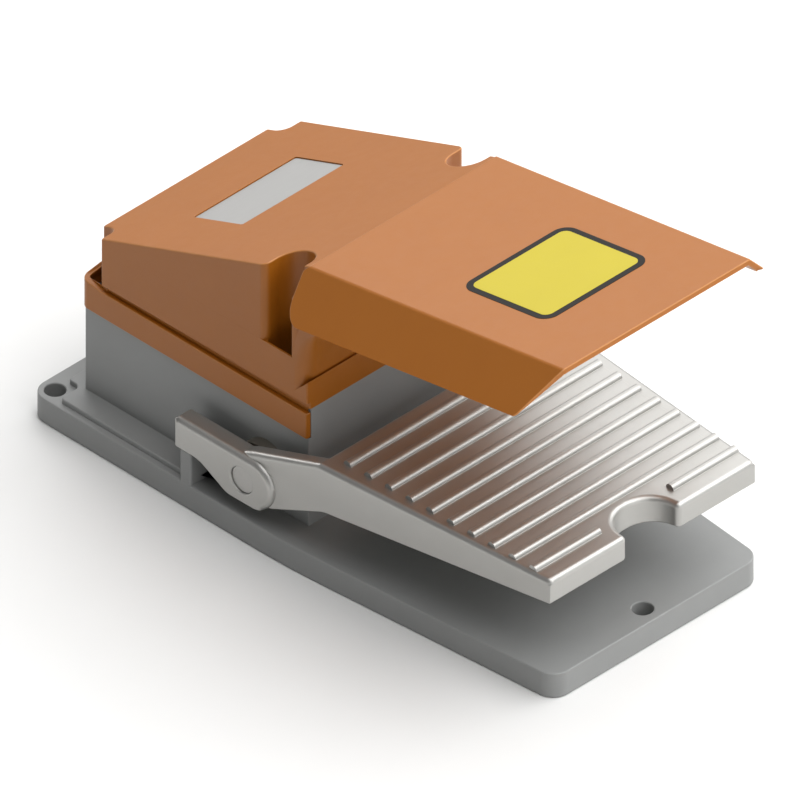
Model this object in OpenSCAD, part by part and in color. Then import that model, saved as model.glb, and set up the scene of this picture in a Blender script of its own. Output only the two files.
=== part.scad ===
// Guarded industrial foot switch. A cast base carries a switch housing, a moulded cover with a
// foot guard closes it, and a ribbed pedal turns on a shaft through the housing and lifts the
// plunger of a snap switch inside.
// Frame: X across, the toe side at -Y, Z up, origin under the middle of the base plate.

/* [Base plate] */
// Length of the base plate
base_l = 240; // [225:1:260]
// Width of the base plate along its rear half
base_w = 118; // [116:1:126]
// Width of the base plate at its front edge
base_front_w = 98; // [90:1:108]
// Length of the tapered stretch of the sides, from the front edge
taper_l = 118; // [95:1:125]
// Thickness of the base plate
base_t = 10; // [8:0.5:12]
// Corner radius of the base plate
base_corner_r = 7; // [3:0.5:8]
// Diameter of the three mounting holes
mount_hole_d = 7.5; // [5:0.5:8]
// Distance between the two rear mounting holes
rear_hole_pitch = 105.2; // [104:0.2:108]
// Rear edge of the base to the rear mounting holes
rear_hole_inset = 6.1; // [5.5:0.1:7]
// Front edge of the base to the front mounting hole
front_hole_inset = 7.2; // [6:0.1:12]
// Height of the shelf that the housing stands on, above the plate
shelf_h = 2; // [1:0.25:3]

/* [Housing] */
// Width of the housing
box_w = 93.6; // [92:0.2:96]
// Length of the housing
box_l = 106.6; // [100:0.2:108]
// Rear edge of the base to the housing's rear wall
box_inset = 14.2; // [13.5:0.1:16]
// Height of the housing's seat for the cover
box_h = 58.3; // [56:0.1:64]
// Thickness of the housing's walls below the lap
wall_t = 5; // [4.5:0.25:6]
// Thickness of the housing's floor
floor_t = 6; // [5:0.5:7]
// Height of the lap that the cover's rim fits round
lap_h = 12; // [11:0.5:14]
// Depth of the lap in the housing's walls
lap_t = 1.3; // [1.2:0.1:1.6]

/* [Cover] */
// Wall of the cover
cover_t = 3; // [2:0.25:4]
// Wall of the cover's rim
rim_t = 2; // [1.6:0.1:2.4]
// Height of the cover's rim
rim_h = 10.5; // [9:0.5:11]
// Height of the cover's top at its rear edge
cover_rear_h = 76; // [72:0.5:82]
// Height of the cover's top at the bend into the guard
bend_h = 116.2; // [110:0.2:122]
// Front wall of the cover to the bend
bend_back = 0.5; // [0.5:0.5:3]
// Height on the front wall where it begins to sweep out under the guard
neck_h = 70; // [66:0.5:76]
// Width of the screw channels in the cover's sides
channel_w = 14.8; // [13:0.2:15.2]
// Height of the sill of the screw channels
channel_sill = 77; // [70:0.5:82]
// Front wall of the cover to the screw channels' middle
channel_back = 14.3; // [13.4:0.1:16]
// Diameter of the cover screws
cover_screw_d = 4; // [3:0.5:4.5]

/* [Guard] */
// Pitch of the guard's top, rising towards the front
guard_pitch = 9.5; // [6:0.5:11]
// Width of the guard between its two folds
guard_w = 88.4; // [84:0.2:92]
// How far each skirt of the guard spreads beyond its fold
skirt_out = 15.2; // [10:0.2:16]
// How far each skirt of the guard drops below its fold
skirt_drop = 14.6; // [12:0.2:18]
// Wall of the guard
guard_t = 2.2; // [2:0.1:3]
// Front edge of the base to the front edge of the guard's top
guard_inset = 0.4; // [0:0.1:8]

/* [Label] */
// Width of the label plate
label_w = 48; // [30:1:56]
// Length of the label plate along the slope of the cover
label_l = 24.4; // [16:0.2:30]
// Thickness of the label plate
label_t = 1; // [0.8:0.1:1.5]
// Front wall of the cover to the middle of the label plate
label_back = 65; // [45:1:75]

/* [Pedal] */
// Height of the pedal's tread
tread_h = 49; // [46:0.5:52]
// Length of the tread
tread_l = 102.9; // [90:0.1:104]
// Housing's front wall to the rear edge of the tread
tread_gap = 14; // [13.5:0.5:18]
// Width of the tread at its front edge
tread_front_w = 97.2; // [90:0.2:104]
// Width of the tread at its rear edge
tread_rear_w = 115; // [113:0.2:117]
// Thickness of the tread's front edge
tread_front_t = 9.6; // [8:0.2:12]
// Depth of the tread's side walls at the rear
tread_rear_t = 18.7; // [15:0.1:20]
// Thickness of the tread's skin
tread_skin = 4.5; // [3.5:0.25:6]
// Thickness of the tread's walls
tread_wall = 5; // [4:0.25:6]
// Number of tread ribs
rib_count = 10; // [6:1:11]
// Distance from rib to rib
rib_pitch = 9.52; // [8:0.02:10]
// Width of a tread rib
rib_w = 3; // [2:0.1:4]
// Width of the notch in the front edge
notch_w = 28; // [20:0.5:34]
// Depth of the notch in the front edge
notch_d = 15.2; // [15:0.1:20]
// Thickness of a side arm
arm_t = 7.3; // [6:0.1:7.6]
// Thickness of an ear
ear_t = 7.6; // [6:0.1:8]

/* [Shaft] */
// Diameter of the pedal shaft
shaft_d = 10; // [8:0.5:11]
// Height of the pedal shaft's axis
pivot_h = 25.3; // [24.8:0.1:26]
// Housing's front wall to the pedal shaft's axis
pivot_back = 19.55; // [19:0.05:22]
// Radial running clearance of the shaft in its bushes
running_clear = 0.05; // [0.02:0.01:0.1]
// Wall of a bush
bush_t = 3; // [2:0.25:4]
// Diameter of a bush's flange
bush_flange_d = 21; // [19:0.5:22]

/* [Switch] */
// Length of the snap switch
switch_l = 49.2; // [44:0.2:54]
// Width of the snap switch
switch_w = 17.5; // [15:0.25:19]
// Height of the snap switch
switch_h = 24.2; // [20:0.2:26]
// Distance between the snap switch's two fixing holes
switch_pitch = 25.4; // [22:0.2:28]
// Diameter of the snap switch's plunger
plunger_d = 6.4; // [5:0.1:7]
// Travel of the plunger
plunger_travel = 4.5; // [4.4:0.1:6]
// Pivot to the plunger
plunger_reach = 22; // [21:0.25:23]
// Thickness of the switch bracket
bracket_t = 2; // [1.5:0.25:3]

/* [Cable inlet] */
// Diameter of the cable that the gland takes
cable_d = 8; // [5:0.5:9]
// Diameter of the gland's thread
gland_d = 16; // [15:0.5:18]
// Height of the gland's axis
gland_h = 30; // [28:0.5:32]
// Reach of the gland behind the housing
gland_reach = 13.6; // [12.5:0.1:14]

/* [Hidden] */
$fn = 48;

// Clearance between two pieces that are screwed together
fit = 0.3;
// Play of a screw in its hole
screw_play = 0.02;
// A cut runs this far past the face it opens
past = 1;

base_rear_y = base_l / 2;
base_front_y = -base_l / 2;
box_rear_y = base_rear_y - box_inset;
box_front_y = box_rear_y - box_l;
box_x = box_w / 2;
box_corner_r = 1;
lap_x = box_x - lap_t;
lap_rear_y = box_rear_y - lap_t;
lap_wall = wall_t - lap_t;
lap_z = box_h - lap_h;

pivot_y = box_front_y + pivot_back;
pivot_z = pivot_h;
shaft_r = shaft_d / 2;
bush_bore_r = shaft_r + running_clear;
bush_r = bush_bore_r + bush_t;
ear_in_x = base_w / 2 + 0.2 - ear_t;
ear_out_x = ear_in_x + ear_t;
ear_gap = 0.4;
bush_boss_l = 6;

// The cover's plan, and the corner cups that hold its rear screws
cover_x = box_x + 0.6;
cover_front_y = box_front_y + 0.8;
cover_rear_y = box_rear_y - 1;
cover_r = 7;
cup_w = 8.4;
cup_l = 7.4;
cup_wall = 2.2;
cup_floor = 2.5;
cup_drop = 8.3;
cup_r = 4.2;
cup_z = box_h - cup_drop;
cup_x = cover_x - cup_w;
cup_y = cover_rear_y - cup_l;
notch_x = cup_x - cup_wall - fit;
notch_y = cup_y - cup_wall - fit;
rim_in_x = lap_x + fit;
rim_in_y = lap_rear_y + fit;
rim_z = box_h - lap_h + fit;
rim_top = rim_z + rim_h;
rim_r = 2.4;

// Slopes of the cover's top and of the guard
bend_y = cover_front_y + bend_back;
ramp_slope = (bend_h - cover_rear_h) / (cover_rear_y - bend_y);
ramp_pitch = atan(ramp_slope);
guard_front_y = base_front_y + guard_inset;
guard_l = (bend_y - guard_front_y) / cos(guard_pitch);
guard_x = guard_w / 2;
skirt_fall = atan2(skirt_drop, skirt_out);
skirt_cut_front = 11;
skirt_cut_rear = 1.2;
skirt_corner_r = 7;

// The sweep from the cover's front wall to the guard's underside touches both
neck_rise = bend_h - guard_t / cos(guard_pitch) + bend_back * tan(guard_pitch) - neck_h;
neck_r = neck_rise / (1 / cos(guard_pitch) - tan(guard_pitch));
neck_y = cover_front_y - neck_r;
neck_x = guard_x - 2.4;

// Screws of the cover
screw_r = cover_screw_d / 2;
screw_head_r = 0.8 * cover_screw_d;
screw_head_h = 0.6 * cover_screw_d;
screw_l = 4 * cover_screw_d;
seat_t = 4;
flange_t = 3;
channel_r = channel_w / 2;
channel_x = cover_x - channel_r;
channel_y = cover_front_y + channel_back;
post_h = bend_h - 17;
well_r = 6.6;
well_wall = 2.2;
well_x = cover_x - well_wall - well_r;
rear_screw_x = (cup_x + rim_in_x) / 2;
rear_screw_y = (cup_y + rim_in_y) / 2;
column_r = 6;
column_l = 17;

// Gasket groove in the housing's seat
groove_in = 1;
groove_w = lap_wall - 2 * groove_in;
groove_d = 1.5;
gasket_play = 0.1;

// Pedal
tread_rear_y = box_front_y - tread_gap;
tread_front_y = tread_rear_y - tread_l;
rib_first_y = tread_rear_y - 10.1;
rib_side = 6.3;
notch_r = 13.2;
stop_y = pivot_y + 27;
stop_l = 5.2;
tail_z = pivot_z - 1.5;
tail_l = 33;
stop_z = tail_z - fit;

// Lever and switch inside the housing
hub_r = shaft_r + 4;
hub_w = 16;
lever_w = 12;
lever_t = 6;
lever_top = pivot_z + lever_t / 2;
lever_l = plunger_reach + 5;
plunger_y = pivot_y + plunger_reach;
plunger_z = lever_top + fit;
plunger_r = plunger_d / 2;
sleeve_r = plunger_r + 2.3;
sleeve_l = 3.4;
switch_z = plunger_z + plunger_travel + sleeve_l + 0.1;
switch_y = plunger_y + 6;
switch_hole_z = switch_z + 7;
bracket_x = switch_w / 2;
bracket_foot = 22;
bracket_y = switch_y - switch_pitch / 2 - 8;
bracket_l = switch_pitch + 16;
m4_r = 2;
m4_head_r = 3.5;
m4_head_h = 2.6;
bracket_screw_l = 3 * m4_r;
terminal_screw_l = 3.5 * m4_r;
earth_screw_l = 4 * m4_r;
set_screw_l = 2 * m4_r;
nut_r = 2 * m4_r;
nut_t = 1.6 * m4_r;
terminal_t = 1;

// Return spring, a coil round the shaft with one leg on the lever and one on the floor
spring_wire_r = 1.1;
spring_r = shaft_r + 2.4 + spring_wire_r;
spring_turns = 5;
spring_pitch = 2.6;
spring_x = -(hub_w / 2 + 3);
spring_steps = 20;
spring_leg = 15;
lug_z = pivot_z + spring_r - spring_wire_r - fit;

// Earth terminal
earth_x = -28;
earth_y = pivot_y + 58;
earth_post_r = 5;
earth_post_z = floor_t + 6;
washer_t = 1.2;

// Gland
gland_r = gland_d / 2;
gland_af = gland_d + 6;
gland_hex_r = gland_af / 2 / cos(30);
gland_flange = 3.5;
locknut_t = 3.5;
gland_cup_r = cable_d / 2 + 2.9;
seal_l = gland_reach - gland_flange - 2.6;

function unit(v) = v / norm(v);

// Points of the arc that rounds corner b, between its neighbours a and c, to radius r
function corner_arc(a, b, c, r) =
    let (
        u = unit(a - b),
        v = unit(c - b),
        half = acos(u * v) / 2,
        centre = b + unit(u + v) * r / sin(half),
        start = b + u * r / tan(half) - centre,
        from = atan2(start.y, start.x),
        turn = (180 - 2 * half) * (cross(u, v) > 0 ? -1 : 1),
        steps = max(2, ceil(abs(turn) / 12))
    )
    [for (i = [0:steps]) centre + r * [cos(from + turn * i / steps), sin(from + turn * i / steps)]];

// A closed outline from corners given as [x, y, radius]
function rounded(corners) =
    let (n = len(corners))
    [for (i = [0:n - 1])
        let (
            p = corners[(i + n - 1) % n],
            q = corners[i],
            s = corners[(i + 1) % n]
        )
        each (q[2] > 0 ? corner_arc([p.x, p.y], [q.x, q.y], [s.x, s.y], q[2]) : [[q.x, q.y]])];

function mirrored(half) =
    concat(half, [for (i = [len(half) - 1:-1:0]) [-half[i].x, half[i].y, half[i][2]]]);

// Plan outlines, each drawn a distance d inside the piece's own edge
function plate_plan() = mirrored([
    [base_front_w / 2, base_front_y, base_corner_r],
    [base_w / 2, base_front_y + taper_l, 300],
    [base_w / 2, base_rear_y, base_corner_r]
]);
function shelf_plan() = mirrored([
    [box_x - 6, stop_y - 10, 3],
    [box_x + 9.7, stop_y + 1, 3],
    [box_x + 9.7, box_rear_y + 1.7, 1.5],
    [box_x + 0.2, box_rear_y + 1.7, 2.5],
    [box_x + 0.2, box_rear_y + 7.5, 1.5]
]);
function box_plan() = mirrored([
    [box_x, box_front_y, box_corner_r],
    [box_x, box_rear_y, box_corner_r]
]);
function lap_plan() = mirrored([
    [lap_x, box_front_y, 1.5],
    [lap_x, lap_rear_y, box_corner_r]
]);
function seat_plan(d) = mirrored([
    [lap_x - d, box_front_y + d, 1.5],
    [lap_x - d, notch_y - d, 1],
    [notch_x - d, notch_y - d, 1.5],
    [notch_x - d, lap_rear_y - d, 1]
]);
function cover_plan(d, front = cover_front_y, corner_r = cover_r) = mirrored([
    [cover_x - d, front + d, max(corner_r - d, 0.8)],
    [cover_x - d, cup_y - d, 0.8],
    [cup_x - d, cup_y - d, cup_r + d],
    [cup_x - d, cover_rear_y - d, 0.8]
]);
function foot_plan(d) = cover_plan(d, box_front_y, 0.8);
function rim_plan(d, front) = mirrored([
    [rim_in_x + rim_t - d, front, 0],
    [rim_in_x + rim_t - d, rim_in_y + rim_t - d, rim_r - d]
]);
function tread_plan() = mirrored([
    [notch_w / 2, tread_front_y + notch_d, notch_r],
    [notch_w / 2, tread_front_y, 1.8],
    [tread_front_w / 2, tread_front_y, 3],
    [tread_rear_w / 2, tread_rear_y, 4]
]);
function tread_pocket_plan() = mirrored([
    [tread_front_w / 2 - tread_wall, tread_front_y + tread_wall, 2],
    [tread_rear_w / 2 - tread_wall, tread_rear_y - tread_wall, 2]
]);

// Side outlines, as Y and Z
function ramp_z(y, d) = bend_h - (y - bend_y) * ramp_slope - d / cos(ramp_pitch);
function guard_z(y, d) = bend_h + (bend_y - y) * tan(guard_pitch) - d / cos(guard_pitch);
function cover_side(d) = [
    [cover_rear_y + past, box_h - past],
    [cover_rear_y + past, ramp_z(cover_rear_y + past, d)],
    [bend_y, ramp_z(bend_y, d)],
    [cover_front_y - past, guard_z(cover_front_y - past, d)],
    [cover_front_y - past, box_h - past]
];
function neck_side(y, d) = [
    [y, neck_h],
    [y, guard_z(y, d)],
    [neck_y, guard_z(neck_y, d)],
    [neck_y, neck_h]
];
function tread_side() = rounded([
    [tread_front_y, tread_h - tread_front_t, 1.5],
    [tread_front_y, tread_h, 2],
    [tread_rear_y, tread_h, 1.5],
    [tread_rear_y, tread_h - tread_rear_t, 3]
]);
function arm_side() = rounded([
    [tread_rear_y - 16, tread_h, 0],
    [tread_rear_y - 1, tread_h, 1],
    [pivot_y - 2, pivot_z + 11.8, 4],
    [pivot_y + 8, pivot_z + 7, 3],
    [pivot_y + 6, pivot_z - 6, 3],
    [pivot_y - 12, pivot_z - 6.5, 4],
    [tread_rear_y - 3, tread_h - tread_rear_t, 10],
    [tread_rear_y - 16, tread_h - tread_rear_t + 1.4, 0]
]);
function ear_side() = rounded([
    [pivot_y + tail_l, pivot_z + 10, 2.5],
    [pivot_y - 7, pivot_z + 10.2, 8],
    [pivot_y - 16.5, pivot_z + 2.5, 7],
    [pivot_y - 7, pivot_z - 9.3, 9],
    [pivot_y + 9, pivot_z - 9.3, 6],
    [pivot_y + 19, tail_z, 6],
    [pivot_y + tail_l, tail_z, 1.5]
]);

module prism_x(outline, x0, x1) {
    translate([x0, 0, 0]) rotate([90, 0, 90]) linear_extrude(x1 - x0) polygon(outline);
}

module rod_x(r, x0, x1) {
    translate([x0, 0, 0]) rotate([0, 90, 0]) cylinder(r = r, h = x1 - x0);
}

module rod_y(r, y0, y1) {
    translate([0, y1, 0]) rotate([90, 0, 0]) cylinder(r = r, h = y1 - y0);
}

module slab(outline, z0, z1) {
    translate([0, 0, z0]) linear_extrude(z1 - z0) polygon(rounded(outline));
}

module both_sides() {
    children();
    mirror([1, 0, 0]) children();
}

module at_pivot() {
    translate([0, pivot_y, pivot_z]) children();
}

// A pan head screw, its head's seat at z = 0 and its shank below, with a cross slot
module pan_screw(r, length, head_r, head_h) {
    slot = 0.32 * head_r;
    difference() {
        union() {
            translate([0, 0, -length]) cylinder(r = r, h = length + past);
            rotate_extrude() polygon(rounded([
                [0, 0, 0], [head_r, 0, 0], [head_r, head_h, 0.6 * head_h], [0, head_h, 0]
            ]));
        }
        for (turn = [0, 90]) rotate([0, 0, turn])
            translate([-0.6 * head_r, -slot / 2, 0.45 * head_h]) cube([1.2 * head_r, slot, head_h]);
    }
}

// A headless screw of unit direction +Z with a hexagon socket in its top
module set_screw(r, length) {
    difference() {
        cylinder(r = r, h = length);
        translate([0, 0, length * 0.5]) cylinder(r = 0.55 * r, h = length, $fn = 6);
    }
}

module at_front_screws() {
    both_sides() translate([well_x, channel_y, box_h + seat_t]) children();
}

module at_rear_screws() {
    both_sides() translate([rear_screw_x, rear_screw_y, cup_z + cup_floor]) children();
}

module at_bracket_screws() {
    for (y = [bracket_y + 8, bracket_y + bracket_l - 8])
        translate([bracket_x + bracket_foot - 7, y, floor_t + bracket_t]) children();
}

module at_switch_holes() {
    for (side = [-1, 1])
        translate([0, switch_y + side * switch_pitch / 2, switch_hole_z]) children();
}

module at_terminals() {
    for (i = [-1, 0, 1]) translate([0, switch_y + i * switch_l * 0.33, switch_z + switch_h]) children();
}

module at_gland() {
    translate([0, box_rear_y, gland_h]) children();
}

module base_housing() {
    color("darkgray") difference() {
        union() {
            difference() {
                union() {
                    slab(plate_plan(), 0, base_t);
                    slab(shelf_plan(), 0, base_t + shelf_h);
                    slab(box_plan(), 0, lap_z);
                    slab(lap_plan(), 0, cup_z);
                    slab(seat_plan(0), 0, box_h);
                }
                slab(seat_plan(lap_wall), floor_t, box_h + past);
            }
            both_sides() {
                // Stop post under the pedal's tail
                translate([ear_in_x - 1, stop_y - stop_l / 2, 0])
                    cube([base_w / 2 - ear_in_x + 1, stop_l, stop_z]);
                // Boss for the bush, inside the wall
                at_pivot() rod_x(bush_r + 3, box_x - wall_t - bush_boss_l, box_x - 1);
                // Column for a front cover screw
                translate([well_x, channel_y, box_h - column_l]) cylinder(r = column_r, h = column_l);
                translate([well_x, channel_y, box_h - column_l - 5])
                    cylinder(r1 = 1.5, r2 = column_r, h = 5);
            }
            translate([earth_x, earth_y, 1]) cylinder(r = earth_post_r, h = earth_post_z - 1);
        }
        // Mounting holes
        for (x = [-1, 1]) translate([x * rear_hole_pitch / 2, base_rear_y - rear_hole_inset, -past])
            cylinder(d = mount_hole_d, h = base_t + shelf_h + 2 * past);
        translate([0, base_front_y + front_hole_inset, -past])
            cylinder(d = mount_hole_d, h = base_t + 2 * past);
        both_sides() at_pivot() rod_x(bush_r + screw_play, box_x - wall_t - bush_boss_l - past, box_x + past);
        // Threaded holes
        at_front_screws() translate([0, 0, -screw_l - 1]) cylinder(r = screw_r + screw_play, h = screw_l + 2);
        at_rear_screws() translate([0, 0, -screw_l - 1]) cylinder(r = screw_r + screw_play, h = screw_l + 2);
        at_bracket_screws() translate([0, 0, -bracket_screw_l - past])
            cylinder(r = m4_r + screw_play, h = bracket_screw_l + 2 * past);
        translate([earth_x, earth_y, earth_post_z - earth_screw_l - past])
            cylinder(r = m4_r + screw_play, h = earth_screw_l + 2 * past);
        // Gasket groove
        difference() {
            slab(seat_plan(groove_in), box_h - groove_d, box_h + past);
            slab(seat_plan(groove_in + groove_w), box_h - groove_d - past, box_h + 2 * past);
        }
        at_gland() rod_y(gland_r + 0.1, -wall_t - 2 * past, past);
    }
}

// The solid of one screw channel, grown by g: a round well above a sill, open to the side
module channel(g, z0) {
    translate([0, 0, z0]) linear_extrude(bend_h - z0 + 10) {
        translate([channel_x, channel_y]) circle(r = channel_r + g);
        translate([channel_x, channel_y - channel_r - g]) square([30, 2 * (channel_r + g)]);
    }
}

module guard_frame() {
    translate([0, bend_y, bend_h]) rotate([-guard_pitch, 0, 0]) children();
}

// The guard: a folded section carried along its pitch, trimmed to its slanted skirt ends
module guard() {
    inner_fold = guard_x - guard_t * tan(skirt_fall / 2);
    edge_x = guard_x + skirt_out;
    guard_frame() intersection() {
        rotate([90, 0, 0]) linear_extrude(guard_l) polygon(rounded(mirrored([
            [inner_fold, -guard_t, 1.5],
            [edge_x - guard_t / sin(skirt_fall), -skirt_drop, 0.4],
            [edge_x, -skirt_drop, 0.4],
            [guard_x, 0, 3]
        ])));
        translate([0, 0, -skirt_drop - past]) linear_extrude(skirt_drop + 2 * past)
            polygon(rounded(mirrored([
                [guard_x, past, 0],
                [edge_x, -skirt_cut_rear, skirt_corner_r],
                [edge_x, skirt_cut_front - guard_l, 2],
                [guard_x, -guard_l, 1.5]
            ])));
    }
}

module cover_shell() {
    difference() {
        union() {
            intersection() {
                prism_x(cover_side(0), -cover_x, cover_x);
                slab(cover_plan(0), box_h, bend_h + 20);
            }
            // Square-cornered foot up to the start of the sweep
            slab(foot_plan(0), box_h, neck_h);
            difference() {
                prism_x(neck_side(cover_front_y + 2 * past, guard_t / 2), -neck_x, neck_x);
                translate([0, neck_y, neck_h]) rod_x(neck_r, -neck_x - past, neck_x + past);
            }
        }
        // Above the guard's flare no wall stands out past the folds
        both_sides() guard_frame() rotate([90, 0, 0]) translate([0, 0, -channel_back])
            linear_extrude(channel_back + 10)
            polygon([[guard_x, 0], [guard_x + 30, -30 * tan(skirt_fall)], [guard_x + 30, 30], [guard_x, 30]]);
        // The posts in front of the screw channels slope down towards the rear, behind the skirts
        both_sides() prism_x([
            [cover_front_y, guard_z(cover_front_y, guard_t)],
            [channel_y - channel_r + past, post_h],
            [channel_y - channel_r + past, bend_h + past]
        ], guard_x - guard_t, cover_x + past);
        // Hollow of the cover, with a flange left round its foot
        intersection() {
            prism_x(cover_side(cover_t), -cover_x, cover_x);
            slab(cover_plan(cover_t), box_h + flange_t, bend_h + 20);
        }
        slab(cover_plan(cover_t + 3.5), box_h - past, box_h + flange_t + past);
        // Hollow behind the sweep of the neck
        difference() {
            prism_x(neck_side(cover_front_y + cover_t + past, guard_t), cover_t - neck_x, neck_x - cover_t);
            translate([0, neck_y, neck_h]) rod_x(neck_r + cover_t, -neck_x, neck_x);
        }
    }
}

module cover() {
    color("chocolate") difference() {
        union() {
            guard();
            difference() {
                union() {
                    cover_shell();
                    // Walls of the screw channels and wells
                    intersection() {
                        both_sides() {
                            channel(cup_wall, channel_sill - cup_wall);
                            translate([well_x, channel_y, box_h])
                                cylinder(r = well_r + cup_wall, h = channel_sill - box_h);
                        }
                        prism_x(cover_side(0), -cover_x, cover_x);
                        slab(cover_plan(0), box_h, bend_h + 20);
                    }
                }
                // Groove above the rim
                difference() {
                    slab(rim_plan(-3, box_front_y + past), rim_top, box_h + 1.4);
                    slab(foot_plan(0.6), 0, bend_h);
                }
            }
            // Rim round the housing's lap, and its neck up to the cover's foot
            difference() {
                slab(rim_plan(0, box_front_y), rim_z, rim_top);
                slab(rim_plan(rim_t, box_front_y - past), rim_z - past, rim_top + past);
            }
            difference() {
                slab(rim_plan(rim_t - 1, box_front_y + past), rim_top - past, box_h + past);
                slab(rim_plan(rim_t, box_front_y), rim_top - 2 * past, box_h + 2 * past);
                both_sides() translate([cup_x, cup_y, 0]) cube([cup_w * 2, cup_l * 2, bend_h]);
            }
            // Corner cups for the rear screws
            both_sides() {
                translate([cup_x - cup_wall, cup_y - cup_wall, cup_z])
                    cube([rim_in_x + 1 - cup_x + cup_wall, rim_in_y + 1 - cup_y + cup_wall, cup_floor]);
                translate([cup_x - cup_wall, cup_y - cup_wall, cup_z])
                    cube([cup_wall, rim_in_y + 1 - cup_y + cup_wall, rim_top - cup_z]);
                translate([cup_x - cup_wall, cup_y - cup_wall, cup_z])
                    cube([rim_in_x + 1 - cup_x + cup_wall, cup_wall, rim_top - cup_z]);
                translate([cup_x - cup_wall, cup_y - cup_wall, rim_top - past])
                    cube([cup_wall, cup_l + cup_wall, box_h - rim_top + 2 * past]);
                translate([cup_x - cup_wall, cup_y - cup_wall, rim_top - past])
                    cube([cup_w + cup_wall - 0.6, cup_wall, box_h - rim_top + 2 * past]);
            }
        }
        both_sides() {
            channel(0, channel_sill);
            translate([well_x, channel_y, box_h + seat_t]) cylinder(r = well_r, h = channel_sill - box_h);
        }
        at_front_screws() translate([0, 0, -seat_t - past])
            cylinder(r = screw_r + 0.2, h = seat_t + 2 * past);
        at_rear_screws() translate([0, 0, -cup_floor - past])
            cylinder(r = screw_r + 0.2, h = cup_floor + 2 * past);
        label_place() cube([label_w + 0.4, label_l + 0.4, 2 * (label_t - 0.3)], center = true);
    }
}

module label_place() {
    translate([0, cover_front_y + label_back, ramp_z(cover_front_y + label_back, 0)])
        rotate([-ramp_pitch, 0, 0]) children();
}

module label_plate() {
    corner = 1.5;
    color("lightgray") label_place() translate([0, 0, 0.3 - label_t]) linear_extrude(label_t)
        polygon(rounded(mirrored([
            [label_w / 2, -label_l / 2, corner],
            [label_w / 2, label_l / 2, corner]
        ])));
}

module cover_gasket() {
    color("black") difference() {
        slab(seat_plan(groove_in + gasket_play), box_h - groove_d, box_h);
        slab(seat_plan(groove_in + groove_w - gasket_play), box_h - groove_d - past, box_h + past);
    }
}

module cover_screws() {
    color("silver") {
        at_front_screws() pan_screw(screw_r, screw_l, screw_head_r, screw_head_h);
        at_rear_screws() pan_screw(screw_r, screw_l, screw_head_r, screw_head_h);
    }
}

module pedal() {
    color("gainsboro") difference() {
        union() {
            difference() {
                intersection() {
                    slab(tread_plan(), 0, tread_h + past);
                    prism_x(tread_side(), -tread_rear_w, tread_rear_w);
                }
                // Underside pockets between the walls and two stiffening webs
                linear_extrude(tread_h - tread_skin) difference() {
                    polygon(rounded(tread_pocket_plan()));
                    translate([0, tread_front_y]) circle(r = notch_d + tread_wall);
                    for (x = [-1, 1]) translate([x * tread_front_w / 5 - 2, tread_front_y])
                        square([4, tread_l]);
                }
            }
            tread_ribs();
            both_sides() {
                prism_x(arm_side(), tread_rear_w / 2 - arm_t, tread_rear_w / 2 - 0.05);
                prism_x(ear_side(), ear_in_x, ear_out_x);
            }
        }
        both_sides() at_pivot() {
            rod_x(shaft_r + screw_play, ear_in_x - 10, ear_out_x + past);
            // Room for the bush's flange, and a countersunk mouth on the outside
            rod_x(bush_flange_d / 2 + 1, ear_in_x - 10, ear_in_x);
            translate([ear_out_x - 0.8, 0, 0]) rotate([0, 90, 0])
                cylinder(r1 = shaft_r, r2 = shaft_r + 1.2, h = 1.2);
            translate([ear_in_x + ear_t / 2, 0, -pivot_z]) cylinder(r = m4_r + screw_play, h = pivot_z);
        }
    }
}

// Half-round ribs across the tread, the front ones broken by the notch
module tread_ribs() {
    flare = (tread_rear_w - tread_front_w) / 2 / tread_l;
    rib_gap = notch_w / 2 + 3;
    for (i = [0:rib_count - 1]) {
        y = rib_first_y - i * rib_pitch;
        edge = tread_front_w / 2 + (y - tread_front_y) * flare - rib_side * (1 - 0.087 * i);
        inner = y < tread_front_y + notch_d - 1 ? rib_gap : -past;
        both_sides() translate([0, y, tread_h]) intersection() {
            rod_x(rib_w / 2, inner, edge);
            translate([inner - past, -rib_w, -rib_w / 2]) cube([edge + 3 * past, 2 * rib_w, rib_w]);
        }
    }
}

module pedal_shaft() {
    half = ear_out_x - 0.8;
    color("silver") at_pivot() rod_x(shaft_r, -half, half);
}

module ear_set_screws() {
    color("dimgray") both_sides() at_pivot() translate([ear_in_x + ear_t / 2, 0, -shaft_r - 0.05])
        mirror([0, 0, 1]) set_screw(m4_r, set_screw_l);
}

// A flanged sleeve in the housing's wall, its flange outside, with a counterbore for the seal
module bush() {
    flange_x = ear_in_x - ear_gap;
    inner_x = box_x - wall_t - bush_boss_l;
    color("peru") at_pivot() difference() {
        union() {
            rod_x(bush_r, inner_x, flange_x);
            rod_x(bush_flange_d / 2, box_x, flange_x);
        }
        rod_x(bush_bore_r, inner_x - past, flange_x + past);
        rod_x(bush_bore_r + 2.55, flange_x - 2.6, flange_x + past);
    }
}

module right_bush() { bush(); }
module left_bush() { mirror([1, 0, 0]) bush(); }

module shaft_seals() {
    seal_r = 1.25;
    color("black") both_sides() at_pivot() translate([ear_in_x - ear_gap - 2.6 + seal_r + 0.03, 0, 0])
        rotate([0, 90, 0]) rotate_extrude() translate([bush_bore_r + seal_r, 0]) circle(r = seal_r);
}

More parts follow.
